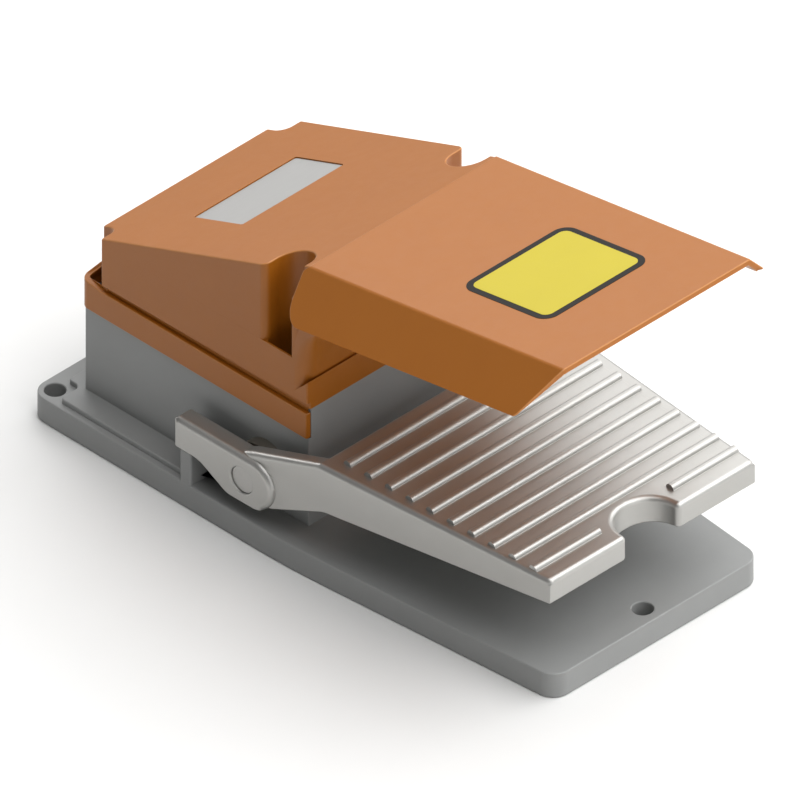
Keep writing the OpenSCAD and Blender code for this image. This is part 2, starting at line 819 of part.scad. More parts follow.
// A clamp hub on the shaft with an arm under the plunger and a lug under the spring's leg
module cam_lever() {
    lug_w = hub_w / 2 - lever_w / 2 + 5;
    color("slategray") at_pivot() difference() {
        union() {
            rod_x(hub_r, -hub_w / 2, hub_w / 2);
            prism_x(rounded([
                [0, -lever_t / 2, 0],
                [lever_l, -lever_t / 2, 2.5],
                [lever_l, lever_t / 2, 2.5],
                [0, lever_t / 2, 0]
            ]), -lever_w / 2, lever_w / 2);
            translate([spring_x - 2, spring_leg - 4, -lever_t / 2])
                cube([lug_w + lever_w / 2, 4, lug_z - pivot_z + lever_t / 2]);
        }
        rod_x(shaft_r + screw_play, -hub_w, hub_w);
        rotate([90, 0, 0]) cylinder(r = m4_r + screw_play, h = 2 * hub_r);
    }
}

module lever_set_screw() {
    color("dimgray") at_pivot() rotate([90, 0, 0]) translate([0, 0, shaft_r + 0.05])
        set_screw(m4_r, set_screw_l);
}

// Points of the return spring's wire: leg on the lever, coil, leg down to the floor
function spring_path() =
    let (
        sweep = 360 * spring_turns + 90,
        steps = ceil(sweep / 360 * spring_steps),
        coil = [for (i = [0:steps])
            let (a = 90 + sweep * i / steps)
            [spring_x - spring_pitch * (a - 90) / 360, spring_r * cos(a), spring_r * sin(a)]],
        last = coil[steps]
    )
    concat([[spring_x, spring_leg, spring_r]], coil,
        [[last.x, last.y, floor_t + 0.2 - pivot_z]]);

// A round wire swept along points, each ring square to the path
module wire(path, r, sides) {
    n = len(path);
    rings = [for (i = [0:n - 1])
        let (
            t = unit(path[min(i + 1, n - 1)] - path[max(i - 1, 0)]),
            across = unit([1, 0, 0] - t * t.x),
            up = cross(t, across)
        )
        for (k = [0:sides - 1])
            path[i] + r * (across * cos(360 * k / sides) + up * sin(360 * k / sides))];
    walls = [for (i = [0:n - 2], k = [0:sides - 1]) [
        i * sides + k, (i + 1) * sides + k,
        (i + 1) * sides + (k + 1) % sides, i * sides + (k + 1) % sides]];
    ends = [[for (k = [0:sides - 1]) k], [for (k = [sides - 1:-1:0]) (n - 1) * sides + k]];
    polyhedron(points = rings, faces = concat(walls, ends));
}

module return_spring() {
    color("gray") at_pivot() wire(spring_path(), spring_wire_r, 8);
}

module switch_bracket() {
    color("lightsteelblue") difference() {
        union() {
            translate([bracket_x, bracket_y, floor_t])
                cube([bracket_t, bracket_l, switch_hole_z + 7 - floor_t]);
            translate([bracket_x, bracket_y, floor_t]) cube([bracket_foot, bracket_l, bracket_t]);
        }
        at_switch_holes() rod_x(m4_r + 0.1, 0, bracket_x + bracket_foot);
        at_bracket_screws() translate([0, 0, -2 * bracket_t]) cylinder(r = m4_r + 0.2, h = 4 * bracket_t);
    }
}

module bracket_screws() {
    color("silver") at_bracket_screws() pan_screw(m4_r, bracket_screw_l, m4_head_r, m4_head_h);
}

module switch_body() {
    edge = 1.5;
    color("saddlebrown") difference() {
        union() {
            prism_x(rounded([
                [switch_y - switch_l / 2, switch_z, edge],
                [switch_y + switch_l / 2, switch_z, edge],
                [switch_y + switch_l / 2, switch_z + switch_h, edge],
                [switch_y - switch_l / 2, switch_z + switch_h, edge]
            ]), -switch_w / 2, switch_w / 2);
            translate([0, plunger_y, switch_z - sleeve_l]) cylinder(r = sleeve_r, h = sleeve_l + 1);
        }
        translate([0, plunger_y, switch_z - sleeve_l - past])
            cylinder(r = plunger_r + running_clear, h = sleeve_l + 12 + past);
        at_switch_holes() rod_x(m4_r + 0.1, -switch_w, switch_w);
        at_terminals() translate([0, 0, -terminal_screw_l - past])
            cylinder(r = m4_r + screw_play, h = terminal_screw_l + 2 * past);
    }
}

module switch_plunger() {
    color("red") translate([0, plunger_y, plunger_z]) rotate_extrude() polygon(concat(
        [for (a = [-90:10:0]) plunger_r * [cos(a), 1 + sin(a)]],
        [[plunger_r, plunger_travel + sleeve_l + 6], [0, plunger_travel + sleeve_l + 6]]
    ));
}

module switch_screws() {
    length = switch_w + bracket_t + 4.5;
    color("silver") at_switch_holes() translate([-switch_w / 2, 0, 0]) rotate([0, -90, 0])
        pan_screw(m4_r, length, m4_head_r, m4_head_h);
}

module switch_nuts() {
    color("silver") at_switch_holes() translate([bracket_x + bracket_t, 0, 0]) rotate([0, 90, 0])
        difference() {
            cylinder(r = nut_r, h = nut_t, $fn = 6);
            translate([0, 0, -past]) cylinder(r = m4_r + screw_play, h = nut_t + 2 * past);
        }
}

module switch_terminals() {
    plate = [11, 8, terminal_t];
    color("gold") at_terminals() difference() {
        translate([-plate.x / 2, -plate.y / 2, 0]) cube(plate);
        translate([0, 0, -past]) cylinder(r = m4_r + 0.2, h = terminal_t + 2 * past);
    }
}

module terminal_screws() {
    color("gold") at_terminals() translate([0, 0, terminal_t])
        pan_screw(m4_r, terminal_screw_l, m4_head_r, m4_head_h);
}

module earth_washer() {
    color("gold") translate([earth_x, earth_y, earth_post_z]) difference() {
        cylinder(r = earth_post_r, h = washer_t);
        translate([0, 0, -past]) cylinder(r = m4_r + 0.2, h = washer_t + 2 * past);
    }
}

module earth_screw() {
    color("silver") translate([earth_x, earth_y, earth_post_z + washer_t])
        pan_screw(m4_r, earth_screw_l, m4_head_r, m4_head_h);
}

module gland_body() {
    color("dimgray") at_gland() difference() {
        union() {
            rod_y(gland_r, -wall_t - 4, past);
            rotate([-90, 0, 0]) cylinder(r = gland_hex_r, h = gland_flange, $fn = 6);
            rod_y(gland_cup_r + 1.6, 0, gland_reach - 4);
        }
        rod_y(cable_d / 2 + 1.5, -wall_t - 4 - past, gland_reach);
        rod_y(gland_cup_r, gland_flange + 0.6, gland_reach);
    }
}

module gland_seal() {
    color("black") at_gland() difference() {
        rod_y(gland_cup_r - 0.1, gland_flange + 0.6, gland_flange + 0.6 + seal_l);
        rod_y(cable_d / 2, 0, gland_reach);
    }
}

// Domed nut that presses the seal onto the cable
module gland_nut() {
    outer = gland_af / 2;
    color("dimgray") at_gland() rotate([-90, 0, 0]) difference() {
        intersection() {
            translate([0, 0, gland_flange]) cylinder(r = gland_hex_r, h = gland_reach - gland_flange, $fn = 6);
            rotate_extrude() polygon(rounded([
                [0, gland_flange, 0], [outer + 1, gland_flange, 0.8],
                [outer + 1, gland_reach, 5], [0, gland_reach, 0]
            ]));
        }
        cylinder(r = gland_cup_r + 1.62, h = gland_reach - 3.4);
        cylinder(r = gland_cup_r, h = gland_reach - 1.9);
        cylinder(r = cable_d / 2 + 0.6, h = gland_reach + past);
    }
}

module gland_locknut() {
    color("dimgray") at_gland() translate([0, -lap_wall - lap_t, 0]) rotate([90, 0, 0]) difference() {
        cylinder(r = gland_hex_r, h = locknut_t, $fn = 6);
        translate([0, 0, -past]) cylinder(r = gland_r + screw_play, h = locknut_t + 2 * past);
    }
}

base_housing();
cover();
cover_gasket();
cover_screws();
label_plate();
pedal();
pedal_shaft();
ear_set_screws();
left_bush();
right_bush();
shaft_seals();
cam_lever();
lever_set_screw();
return_spring();
switch_bracket();
bracket_screws();
switch_body();
switch_plunger();
switch_screws();
switch_nuts();
switch_terminals();
terminal_screws();
earth_screw();
earth_washer();
gland_body();
gland_seal();
gland_nut();
gland_locknut();
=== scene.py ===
"""Looks of a guarded foot switch: filleted castings and mouldings, and their finishes.

Sizes are in millimetres in the part's own frame: X across, the toe side at -Y, Z up, origin on the
floor under the middle of the base plate. Meshes are put into Blender in metres.
"""
from __future__ import annotations

import logging
import math
from dataclasses import dataclass
from enum import Enum
from typing import Any, Callable, ClassVar, Sequence, Union

import bpy
import numpy as np
from mathutils import Matrix, Vector
from mathutils.geometry import tessellate_polygon

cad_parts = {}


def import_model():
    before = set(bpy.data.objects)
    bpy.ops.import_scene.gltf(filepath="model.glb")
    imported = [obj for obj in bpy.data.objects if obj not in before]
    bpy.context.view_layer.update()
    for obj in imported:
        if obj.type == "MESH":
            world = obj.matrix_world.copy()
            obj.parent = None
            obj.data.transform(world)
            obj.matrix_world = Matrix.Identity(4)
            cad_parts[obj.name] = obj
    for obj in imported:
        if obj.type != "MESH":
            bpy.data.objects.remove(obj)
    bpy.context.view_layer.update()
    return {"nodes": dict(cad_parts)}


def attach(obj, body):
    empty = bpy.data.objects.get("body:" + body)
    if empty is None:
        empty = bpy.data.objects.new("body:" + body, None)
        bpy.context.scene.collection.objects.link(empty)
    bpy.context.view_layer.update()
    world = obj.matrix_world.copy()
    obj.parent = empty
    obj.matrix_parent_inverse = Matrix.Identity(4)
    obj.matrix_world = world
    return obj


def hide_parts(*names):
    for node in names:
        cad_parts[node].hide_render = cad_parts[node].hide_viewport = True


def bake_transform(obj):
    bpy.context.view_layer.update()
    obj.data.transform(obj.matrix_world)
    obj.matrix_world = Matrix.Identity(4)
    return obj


LOG = logging.getLogger("foot_switch")
MM = 0.001
QUARTER = math.pi / 2
DOWN = np.array([0.0, 0.0, -1.0])
CLEAR = 0.02  # keeps faces of shells that touch from lying in one plane
SINK = 1.0  # how far a shell runs into the one that it stands on

Array = np.ndarray
Pair = tuple[float, float]
Triple = tuple[float, float, float]
Corner = Triple
Colour = tuple[int, int, int]
Height = Union[float, Callable[[Array], Array]]
Edge = Union[float, Callable[["Outline"], Array]]


class Axis(Enum):
    """The world axis that a slab is extruded along."""

    X = "x"
    Z = "z"


class Body(Enum):
    """The rigid bodies that pieces ride on."""

    HOUSING = "housing"
    PEDAL = "pedal"


def unit(vectors: Array) -> Array:
    """Vectors divided by their own lengths."""
    return vectors / np.linalg.norm(vectors, axis=-1, keepdims=True)


def rays(angle: Array) -> Array:
    """Plane directions at some angles: the cosine and the sine of each."""
    return np.stack([np.cos(angle), np.sin(angle)], axis=1)


def as_faces(table: Array) -> list[tuple[int, ...]]:
    """Rows of vertex numbers as faces."""
    return [tuple(row) for row in table.tolist()]


def heights(rule: Height, plan: Array) -> Array:
    """Heights over plan points, from one height or a function of the points."""
    return rule(plan) if callable(rule) else np.full(len(plan), float(rule))


@dataclass
class Outline:
    """A closed loop of plan points, counter-clockwise, with the outward direction at each point."""

    points: Array
    normals: Array

    def grown(self, distance: float | Array) -> Array:
        """The loop moved outwards along its own normals, by one distance or one for each point."""
        return self.points + self.normals * np.reshape(distance, (-1, 1))

    def fillets(self, rule: Edge) -> Array:
        """Fillet radii round the loop, from one radius or a function of the outline."""
        return rule(self) if callable(rule) else np.full(len(self.points), float(rule))


def softer(direction: Pair, full: float, least: float) -> Callable[[Outline], Array]:
    """A rule for fillets that are full on walls facing a direction and small on the others.

    Args:
        direction: the plan direction that full fillets face.
        full: radius on that side.
        least: radius on the other side.

    Returns:
        A function from an outline to one radius for each of its points: a smooth step over the
        cosine between the wall's normal and the direction.
    """
    begin, width = 0.05, 0.25

    def radii(outline: Outline) -> Array:
        """Radii round one outline."""
        facing = np.clip((outline.normals @ np.array(direction) - begin) / width, 0, 1)
        return least + (full - least) * facing * facing * (3 - 2 * facing)

    return radii


def rounded(corners: Sequence[Corner], step_deg: float = 6.0) -> Outline:
    """A loop whose corners are arcs: each arc's centre lies on its corner's bisector.

    Args:
        corners: x, y and arc radius of each corner, in either turning sense.
        step_deg: largest turn between two points of an arc.

    Returns:
        The outline, turned counter-clockwise.
    """
    table = np.array(corners, dtype=float)
    x, y = table[:, 0], table[:, 1]
    if np.sum(x * np.roll(y, -1) - y * np.roll(x, -1)) < 0:
        table = table[::-1]
    spots, radii = table[:, :2], table[:, 2]
    before, after = (unit(np.roll(spots, shift, axis=0) - spots) for shift in (1, -1))
    points, normals = [], []
    for spot, radius, u, v in zip(spots, radii, before, after):
        half = math.acos(float(np.clip(u @ v, -1.0, 1.0))) / 2
        sense = 1.0 if u[0] * v[1] - u[1] * v[0] < 0 else -1.0
        centre = spot + unit(u + v) * radius / math.sin(half)
        start = spot + u * radius / math.tan(half) - centre
        sweep = sense * (math.pi - 2 * half)
        count = max(2, math.ceil(math.degrees(abs(sweep)) / step_deg))
        radial = rays(math.atan2(start[1], start[0]) + sweep * np.linspace(0, 1, count + 1))
        points.append(centre + radius * radial)
        normals.append(sense * radial)
    return Outline(np.concatenate(points), np.concatenate(normals))


def rectangle(low: Pair, high: Pair, radius: float) -> Outline:
    """A rectangle between two opposite corners, with one radius at all four."""
    (x0, y0), (x1, y1) = low, high
    return rounded([(x0, y0, radius), (x1, y0, radius), (x1, y1, radius), (x0, y1, radius)])


def circle(x: float, y: float, radius: float, count: int = 48) -> Outline:
    """A round loop of evenly spaced points about a centre."""
    radial = rays(np.linspace(0, 2 * math.pi, count, endpoint=False))
    return Outline(np.array([x, y]) + radius * radial, radial)


def mirrored(half: Sequence[Corner]) -> list[Corner]:
    """Corners of one side, then the same corners on the other side in reverse order."""
    return list(half) + [(-x, y, r) for x, y, r in reversed(half)]


@dataclass
class Shell:
    """Vertices with their normals and edge mask, a painted highlight along fillets that also stands for
    rubbed paint, and the faces that join them.
    """

    points: Array
    normals: Array
    sheen_and_wear: Array
    faces: list[tuple[int, ...]]

    def both_sides(self) -> list["Shell"]:
        """Mirrors the shell in the middle plane and turns the image's faces back outwards.

        Returns:
            The shell and its image.
        """
        flip = np.array([-1.0, 1.0, 1.0])
        return [self, Shell(self.points * flip, self.normals * flip, self.sheen_and_wear,
                            [face[::-1] for face in self.faces])]

    def turned(self, matrix: Matrix) -> "Shell":
        """Moves the shell.

        Args:
            matrix: a rigid transform.

        Returns:
            The moved shell.
        """
        turn = np.array(matrix.to_3x3())
        return Shell(self.points @ turn.T + np.array(matrix.translation), self.normals @ turn.T,
                     self.sheen_and_wear, self.faces)


def joined(shells: Sequence[Shell]) -> Shell:
    """One shell from several, with vertices shared where both place and normal agree.

    Args:
        shells: the shells to join.

    Returns:
        The whole, without faces that shrink to a line.
    """
    per_mm, per_normal = 2e3, 50
    offsets = np.cumsum([0] + [len(shell.points) for shell in shells[:-1]])
    points = np.concatenate([shell.points for shell in shells])
    normals = np.concatenate([shell.normals for shell in shells])
    sheen_and_wear = np.concatenate([shell.sheen_and_wear for shell in shells])
    key = np.round(np.concatenate([points * per_mm, normals * per_normal], axis=1)).astype(np.int64)
    _, first, inverse = np.unique(key, axis=0, return_index=True, return_inverse=True)
    inverse = inverse.reshape(-1)
    faces = []
    for offset, shell in zip(offsets, shells):
        for face in shell.faces:
            loop = [int(inverse[offset + i]) for i in face]
            kept = [i for n, i in enumerate(loop) if i != loop[n - 1]]
            if len(kept) > 2:
                faces.append(tuple(kept))
    return Shell(points[first], normals[first], sheen_and_wear[first], faces)


def band(rows: Array, normals: Array, sheen_and_wear: Array) -> Shell:
    """A grid surface: quads between neighbouring rows, each row a closed loop.

    Args:
        rows: vertex positions, as rows by points by 3.
        normals: the normal of each vertex, in the same layout.
        sheen_and_wear: the edge mask of each row, a painted highlight along the fillets that also stands for
            rubbed paint.

    Returns:
        The surface, facing outwards where rows run upwards on a counter-clockwise loop.
    """
    count, width = rows.shape[:2]
    along = np.arange(width)
    after = (along + 1) % width
    base = (np.arange(count - 1) * width)[:, None]
    quads = np.stack([base + along, base + after, base + width + after, base + width + along], axis=-1)
    return Shell(rows.reshape(-1, 3), normals.reshape(-1, 3), np.repeat(sheen_and_wear, width),
                 as_faces(quads.reshape(-1, 4)))


def ends(rows: Array, first: Array, last: Array) -> list[Shell]:
    """Flat faces that close a band at its first and its last row.

    Args:
        rows: the band's vertex positions.
        first: normal of the first row, one for all its points or one for each.
        last: normal of the last row.

    Returns:
        Both faces.
    """
    loop, plain = tuple(range(rows.shape[1])), np.zeros(rows.shape[1])
    return [Shell(row, np.broadcast_to(normal, row.shape), plain, [face])
            for row, normal, face in ((rows[0], first, loop[::-1]), (rows[-1], last, loop))]


def cap(loops: Sequence[Array], normal: Array, upwards: bool) -> Shell:
    """A flat or gently sloping face inside the first loop and outside the others.

    Args:
        loops: rings of positions, the outer ring first.
        normal: the normal of the face.
        upwards: whether the face looks along +W in plan.

    Returns:
        The triangulated face.
    """
    least_area = 1e-9
    points = np.concatenate(loops)
    plan = [[Vector((p[0], p[1], 0.0)) for p in loop] for loop in loops]
    triangles = np.array(tessellate_polygon(plan), dtype=int)
    a, b, c = (points[triangles[:, i], :2] for i in range(3))
    turn = (b[:, 0] - a[:, 0]) * (c[:, 1] - a[:, 1]) - (b[:, 1] - a[:, 1]) * (c[:, 0] - a[:, 0])
    wrong = (turn > 0) != upwards
    triangles[wrong] = triangles[wrong][:, ::-1]
    return Shell(points, np.tile(normal, (len(points), 1)), np.zeros(len(points)),
                 as_faces(triangles[np.abs(turn) > least_area]))


@dataclass
class Hole:
    """A hole through a slab, or a pocket from one side.

    Attributes:
        outline: the hole's wall in plan.
        floor: height of a pocket's end, or None for a hole right through.
        from_top: whether a pocket opens at the top.
        edge: fillet of the hole's mouth.
    """

    outline: Outline
    floor: Height | None = None
    from_top: bool = True
    edge: float = 0.0


@dataclass
class Slab:
    """A prism with filleted edges, drawn from its plan outline.

    Attributes:
        outline: the plan outline.
        low: height of the underside.
        high: height of the top.
        top_edge: fillet round the top.
        low_edge: fillet round the underside.
        holes: holes and pockets.
        slope: lean of the top's normal in plan, against one upwards.
        axis: world axis of the slab's height.
        steps: segments in each fillet.
    """

    outline: Outline
    low: Height
    high: Height
    top_edge: Edge = 0.0
    low_edge: Edge = 0.0
    holes: Sequence[Hole] = ()
    slope: Pair = (0.0, 0.0)
    axis: Axis = Axis.Z
    steps: int = 5

    def shell(self) -> Shell:
        """The slab's surface in world axes: its walls, its holes' walls and floors, and both faces.

        Returns:
            One closed shell.
        """
        top = unit(np.array([*self.slope, 1.0]))
        pieces = [self._wall(self.outline, 1.0, (self.low, self.low_edge), (self.high, self.top_edge))]
        tops = [self._ring(self.outline, -self.outline.fillets(self.top_edge), self.high)]
        lows = [self._ring(self.outline, -self.outline.fillets(self.low_edge), self.low)]
        for hole in self.holes:
            through = hole.floor is None
            low, high = (self.low, hole.edge), (self.high, hole.edge)
            if through or hole.from_top:
                tops.append(self._ring(hole.outline, hole.edge, self.high))
            else:
                high = (hole.floor, 0.0)
            if through or not hole.from_top:
                lows.append(self._ring(hole.outline, hole.edge, self.low))
            else:
                low = (hole.floor, 0.0)
            pieces.append(self._wall(hole.outline, -1.0, low, high))
            if not through:
                floor = [self._ring(hole.outline, 0.0, hole.floor)]
                pieces.append(cap(floor, top if hole.from_top else DOWN, hole.from_top))
        whole = joined(pieces + [cap(tops, top, True), cap(lows, DOWN, False)])
        if self.axis is Axis.X:
            order = [2, 0, 1]
            whole = Shell(whole.points[:, order], whole.normals[:, order], whole.sheen_and_wear, whole.faces)
        return whole

    @staticmethod
    def _ring(outline: Outline, grow: float | Array, height: Height, lift: float | Array = 0.0) -> Array:
        """A loop grown in plan, set at a height and lifted."""
        plan = outline.grown(grow)
        return np.column_stack([plan, heights(height, plan) + lift])

    def _fillet(self, outline: Outline, side: float, height: Height, edge: Edge, pole: Array
                ) -> tuple[list[Array], list[Array], list[float]]:
        """Rows of a quarter round between a wall and a face, from the wall to the face.

        A row at angle a is drawn in by edge times 1 - cos a and lies edge times 1 - sin a from
        the face.

        Args:
            outline: the wall in plan.
            side: 1 for a wall that faces out of its outline, -1 for one that faces in.
            height: height of the face.
            edge: radius of the round.
            pole: the face's normal.

        Returns:
            Positions, normals and edge mask of each row, the mask a painted highlight along the fillet that
            also stands for rubbed paint.
        """
        rows, normals, sheen_and_wear = [], [], []
        outward = np.column_stack([outline.normals * side, np.zeros(len(outline.points))])
        radius = outline.fillets(edge)
        down = -1.0 if pole[2] > 0 else 1.0
        for angle in np.linspace(0, QUARTER, self.steps + 1 if radius.max() > 0 else 1):
            rows.append(self._ring(outline, -side * radius * (1 - math.cos(angle)), height,
                                   down * radius * (1 - math.sin(angle))))
            normals.append(unit(outward * math.cos(angle) + pole * math.sin(angle)))
            # edge mask: painted highlight, strongest at the middle of the fillet, also standing for rubbed
            # paint
            sheen_and_wear.append(math.sin(2 * angle))
        return rows, normals, sheen_and_wear

    def _wall(self, outline: Outline, side: float, low: tuple[Height, Edge], high: tuple[Height, Edge]
              ) -> Shell:
        """A wall from a lower to an upper face, with a fillet at each.

        Args:
            outline: the wall in plan.
            side: 1 for a wall that faces out of its outline, -1 for one that faces in.
            low: height and fillet of the lower face.
            high: height and fillet of the upper face.

        Returns:
            The wall.
        """
        top = unit(np.array([*self.slope, 1.0]))
        lower, upper = self._fillet(outline, side, *low, DOWN), self._fillet(outline, side, *high, top)
        rows, normals, sheen_and_wear = (np.array(a[::-1] + b) for a, b in zip(lower, upper))
        wall = band(rows, normals, sheen_and_wear)
        if side < 0:
            wall.faces = [face[::-1] for face in wall.faces]
        return wall


def placed(name: str, data: bpy.types.ID) -> bpy.types.Object:
    """A new object that holds some data, linked to the scene.

    Args:
        name: the object's name.
        data: its mesh, light or camera.

    Returns:
        The object.
    """
    made = bpy.data.objects.new(name, data)
    bpy.context.scene.collection.objects.link(made)
    return made


def make_object(name: str, shells: Sequence[Shell], material: bpy.types.Material) -> bpy.types.Object:
    """An object at the origin whose mesh holds the shells, in metres, with their own normals.

    Args:
        name: the piece's name.
        shells: the surfaces that make it up.
        material: its finish.

    Returns:
        The new object, linked to the scene.
    """
    whole = joined(shells)
    mesh = bpy.data.meshes.new(name)
    mesh.from_pydata((whole.points * MM).tolist(), [], whole.faces)
    mesh.polygons.foreach_set("use_smooth", np.ones(len(mesh.polygons), dtype=bool))
    # edge mask as a mesh attribute: painted highlight along the fillets, also standing for rubbed paint
    mesh.attributes.new("edge_sheen_and_wear", "FLOAT", "POINT").data.foreach_set("value", whole.sheen_and_wear)
    mesh.update()
    mesh.normals_split_custom_set_from_vertices(unit(whole.normals).tolist())
    mesh.materials.append(material)
    LOG.info("%s: %d vertices, %d faces", name, len(mesh.vertices), len(mesh.polygons))
    return placed(name, mesh)


class Socket:
    """An output of a shader node, with arithmetic that adds Math nodes."""

    def __init__(self, graph: "Graph", output: bpy.types.NodeSocket) -> None:
        """Wraps one output of a node in a graph."""
        self.graph = graph
        self.output = output

    def __add__(self, other: Any) -> "Socket":
        """Sum."""
        return self.graph.node("ShaderNodeMath", {"operation": "ADD"}, {0: self, 1: other})

    __radd__ = __add__

    def __mul__(self, other: Any) -> "Socket":
        """Product."""
        return self.graph.node("ShaderNodeMath", {"operation": "MULTIPLY"}, {0: self, 1: other})

    __rmul__ = __mul__

    def spread(self, low: float, high: float) -> "Socket":
        """A share of 0 to 1 spread over a range of values."""
        return self * (high - low) + low


class Graph:
    """A material's node tree, with one method that makes any node."""

    def __init__(self, name: str) -> None:
        """Starts a material with an empty tree.

        Args:
            name: the material's name.
        """
        self.material = bpy.data.materials.new(name)
        self.material.use_nodes = True
        self.tree = self.material.node_tree
        self.tree.nodes.clear()

    def node(self, kind: str, settings: dict[str, Any] | None = None,
             inputs: dict[int | str, Any] | None = None, output: int | str = 0) -> Socket | None:
        """Adds a node.

        Args:
            kind: the node's type name.
            settings: attributes to set first.
            inputs: values or sockets for the node's inputs.
            output: which output to return.

        Returns:
            The chosen output, or None for a node that has no outputs.
        """
        made = self.tree.nodes.new(kind)
        for key, value in (settings or {}).items():
            setattr(made, key, value)
        for key, value in (inputs or {}).items():
            if isinstance(value, Socket):
                self.tree.links.new(value.output, made.inputs[key])
            else:
                made.inputs[key].default_value = value
        return Socket(self, made.outputs[output]) if made.outputs else None

    def noise(self, scale: float, detail: float, stretch: Triple | None = None) -> Socket:
        """Noise over the piece.

        Args:
            scale: features per metre.
            detail: octaves of finer noise.
            stretch: scale along each axis, for noise that is drawn out.

        Returns:
            The noise, from 0 to 1.
        """
        place = self.node("ShaderNodeTexCoord", output="Object")
        if stretch is not None:
            place = self.node("ShaderNodeMapping", {}, {"Vector": place, "Scale": stretch})
        return self.node("ShaderNodeTexNoise", {},
                         {"Vector": place, "Scale": scale, "Detail": detail, "Roughness": 0.6}, "Fac")

    def mix(self, factor: Socket, a: Any, b: Any) -> Socket:
        """A colour between two colours."""
        return self.node("ShaderNodeMix", {"data_type": "RGBA"}, {0: factor, 6: a, 7: b}, 2)

    def sheen_and_wear(self) -> Socket:
        """Painted edge highlight of the mesh, also standing for rubbed paint: 1 along the middle of each
        fillet.
        """
        return self.node("ShaderNodeAttribute", {"attribute_name": "edge_sheen_and_wear"}, output="Fac")

    def surface(self, colour: Socket, roughness: Socket, bump: Socket, strength: float, depth: float,
                **fixed: float) -> bpy.types.Material:
        """Ends the tree with a Principled shader.

        Args:
            colour: base colour.
            roughness: roughness.
            bump: height of the fine relief.
            strength: strength of the relief.
            depth: depth of the relief, in metres.
            fixed: other inputs of the shader, underscores for spaces.

        Returns:
            The finished material.
        """
        relief = self.node("ShaderNodeBump", {}, {"Strength": strength, "Distance": depth, "Height": bump})
        shader = self.node("ShaderNodeBsdfPrincipled", {}, {
            "Base Color": colour, "Roughness": roughness, "Normal": relief,
            **{key.replace("_", " "): value for key, value in fixed.items()}})
        self.node("ShaderNodeOutputMaterial", {}, {"Surface": shader})
        return self.material


def linear(colour: Colour) -> tuple[float, ...]:
    """A display colour of 0 to 255 as a linear shader colour, by the sRGB curve.

    Args:
        colour: red, green and blue.

    Returns:
        Linear red, green, blue and an alpha of 1.
    """
    values = np.array(colour) / 255
    line = np.where(values <= 0.04045, values / 12.92, ((values + 0.055) / 1.055) ** 2.4)
    return (*line.tolist(), 1.0)


@dataclass(frozen=True)
class Finish:
    """A mottled, finely grained surface with lighter edges: a painted highlight along the fillets, which also
    stands for rubbed paint.

    Attributes:
        name: the finish's name.
        colour: its main colour, as displayed.
        tint: the colour of its mottling.
        edge: the colour of the painted edge highlight, which also stands for rubbed paint.
        edge_sheen_and_wear_amount: how far the edges take that colour.
        roughness: lowest and highest roughness.
        grain: features of the fine grain per metre.
        grain_depth: depth of the grain in metres.
        metal: metallic share.
        specular: specular level.
    """

    name: str
    colour: Colour
    tint: Colour
    edge: Colour
    edge_sheen_and_wear_amount: float = 0.3
    roughness: Pair = (0.45, 0.55)
    grain: float = 1800.0
    grain_depth: float = 0.00004
    metal: float = 0.0
    specular: float = 0.5

    # features per metre and octaves of each noise
    MOTTLE: ClassVar[Pair] = (45.0, 4.0)
    SHEEN_AND_WEAR: ClassVar[Pair] = (160.0, 3.0)
    GLOSS: ClassVar[Pair] = (220.0, 3.0)
    GRAIN_OCTAVES: ClassVar[float] = 3.0
    SHEEN_AND_WEAR_RANGE: ClassVar[Pair] = (0.5, 1.3)
    RELIEF: ClassVar[float] = 0.35

    def material(self) -> bpy.types.Material:
        """The finish as a node material.

        Returns:
            The material, new at each call.
        """
        graph = Graph(self.name)
        body = graph.mix(graph.noise(*self.MOTTLE), linear(self.colour), linear(self.tint))
        # lighter fillets: painted highlight along the edges, also standing for rubbed paint, broken up by
        # noise
        sheen_and_wear_share = graph.sheen_and_wear() * self.edge_sheen_and_wear_amount * graph.noise(*self.SHEEN_AND_WEAR).spread(*self.SHEEN_AND_WEAR_RANGE)
        colour = graph.mix(sheen_and_wear_share, body, linear(self.edge))
        rough = graph.noise(*self.GLOSS).spread(*self.roughness)
        fine = graph.noise(self.grain, self.GRAIN_OCTAVES)
        return graph.surface(colour, rough, fine, self.RELIEF, self.grain_depth,
                             Metallic=self.metal, Specular_IOR_Level=self.specular)


@dataclass(frozen=True)
class BrushedFinish:
    """Metal with fine lines along one axis.

    Attributes:
        name: the finish's name.
        colour: colour of the metal, as displayed.
        dark: colour in the lines.
        stretch: scale of the lines along each axis.
        roughness: lowest and highest roughness.
        metal: metallic share.
    """

    name: str
    colour: Colour
    dark: Colour
    stretch: Triple = (30.0, 30.0, 30.0)
    roughness: Pair = (0.25, 0.4)
    metal: float = 1.0

    LINES: ClassVar[Pair] = (120.0, 4.0)  # features per metre and octaves
    RELIEF: ClassVar[Pair] = (0.15, 0.00003)  # strength, and depth in metres

    def material(self) -> bpy.types.Material:
        """The finish as a node material.

        Returns:
            The material, new at each call.
        """
        graph = Graph(self.name)
        lines = graph.noise(*self.LINES, self.stretch)
        colour = graph.mix(lines, linear(self.dark), linear(self.colour))
        return graph.surface(colour, lines.spread(*self.roughness), lines, *self.RELIEF, Metallic=self.metal)


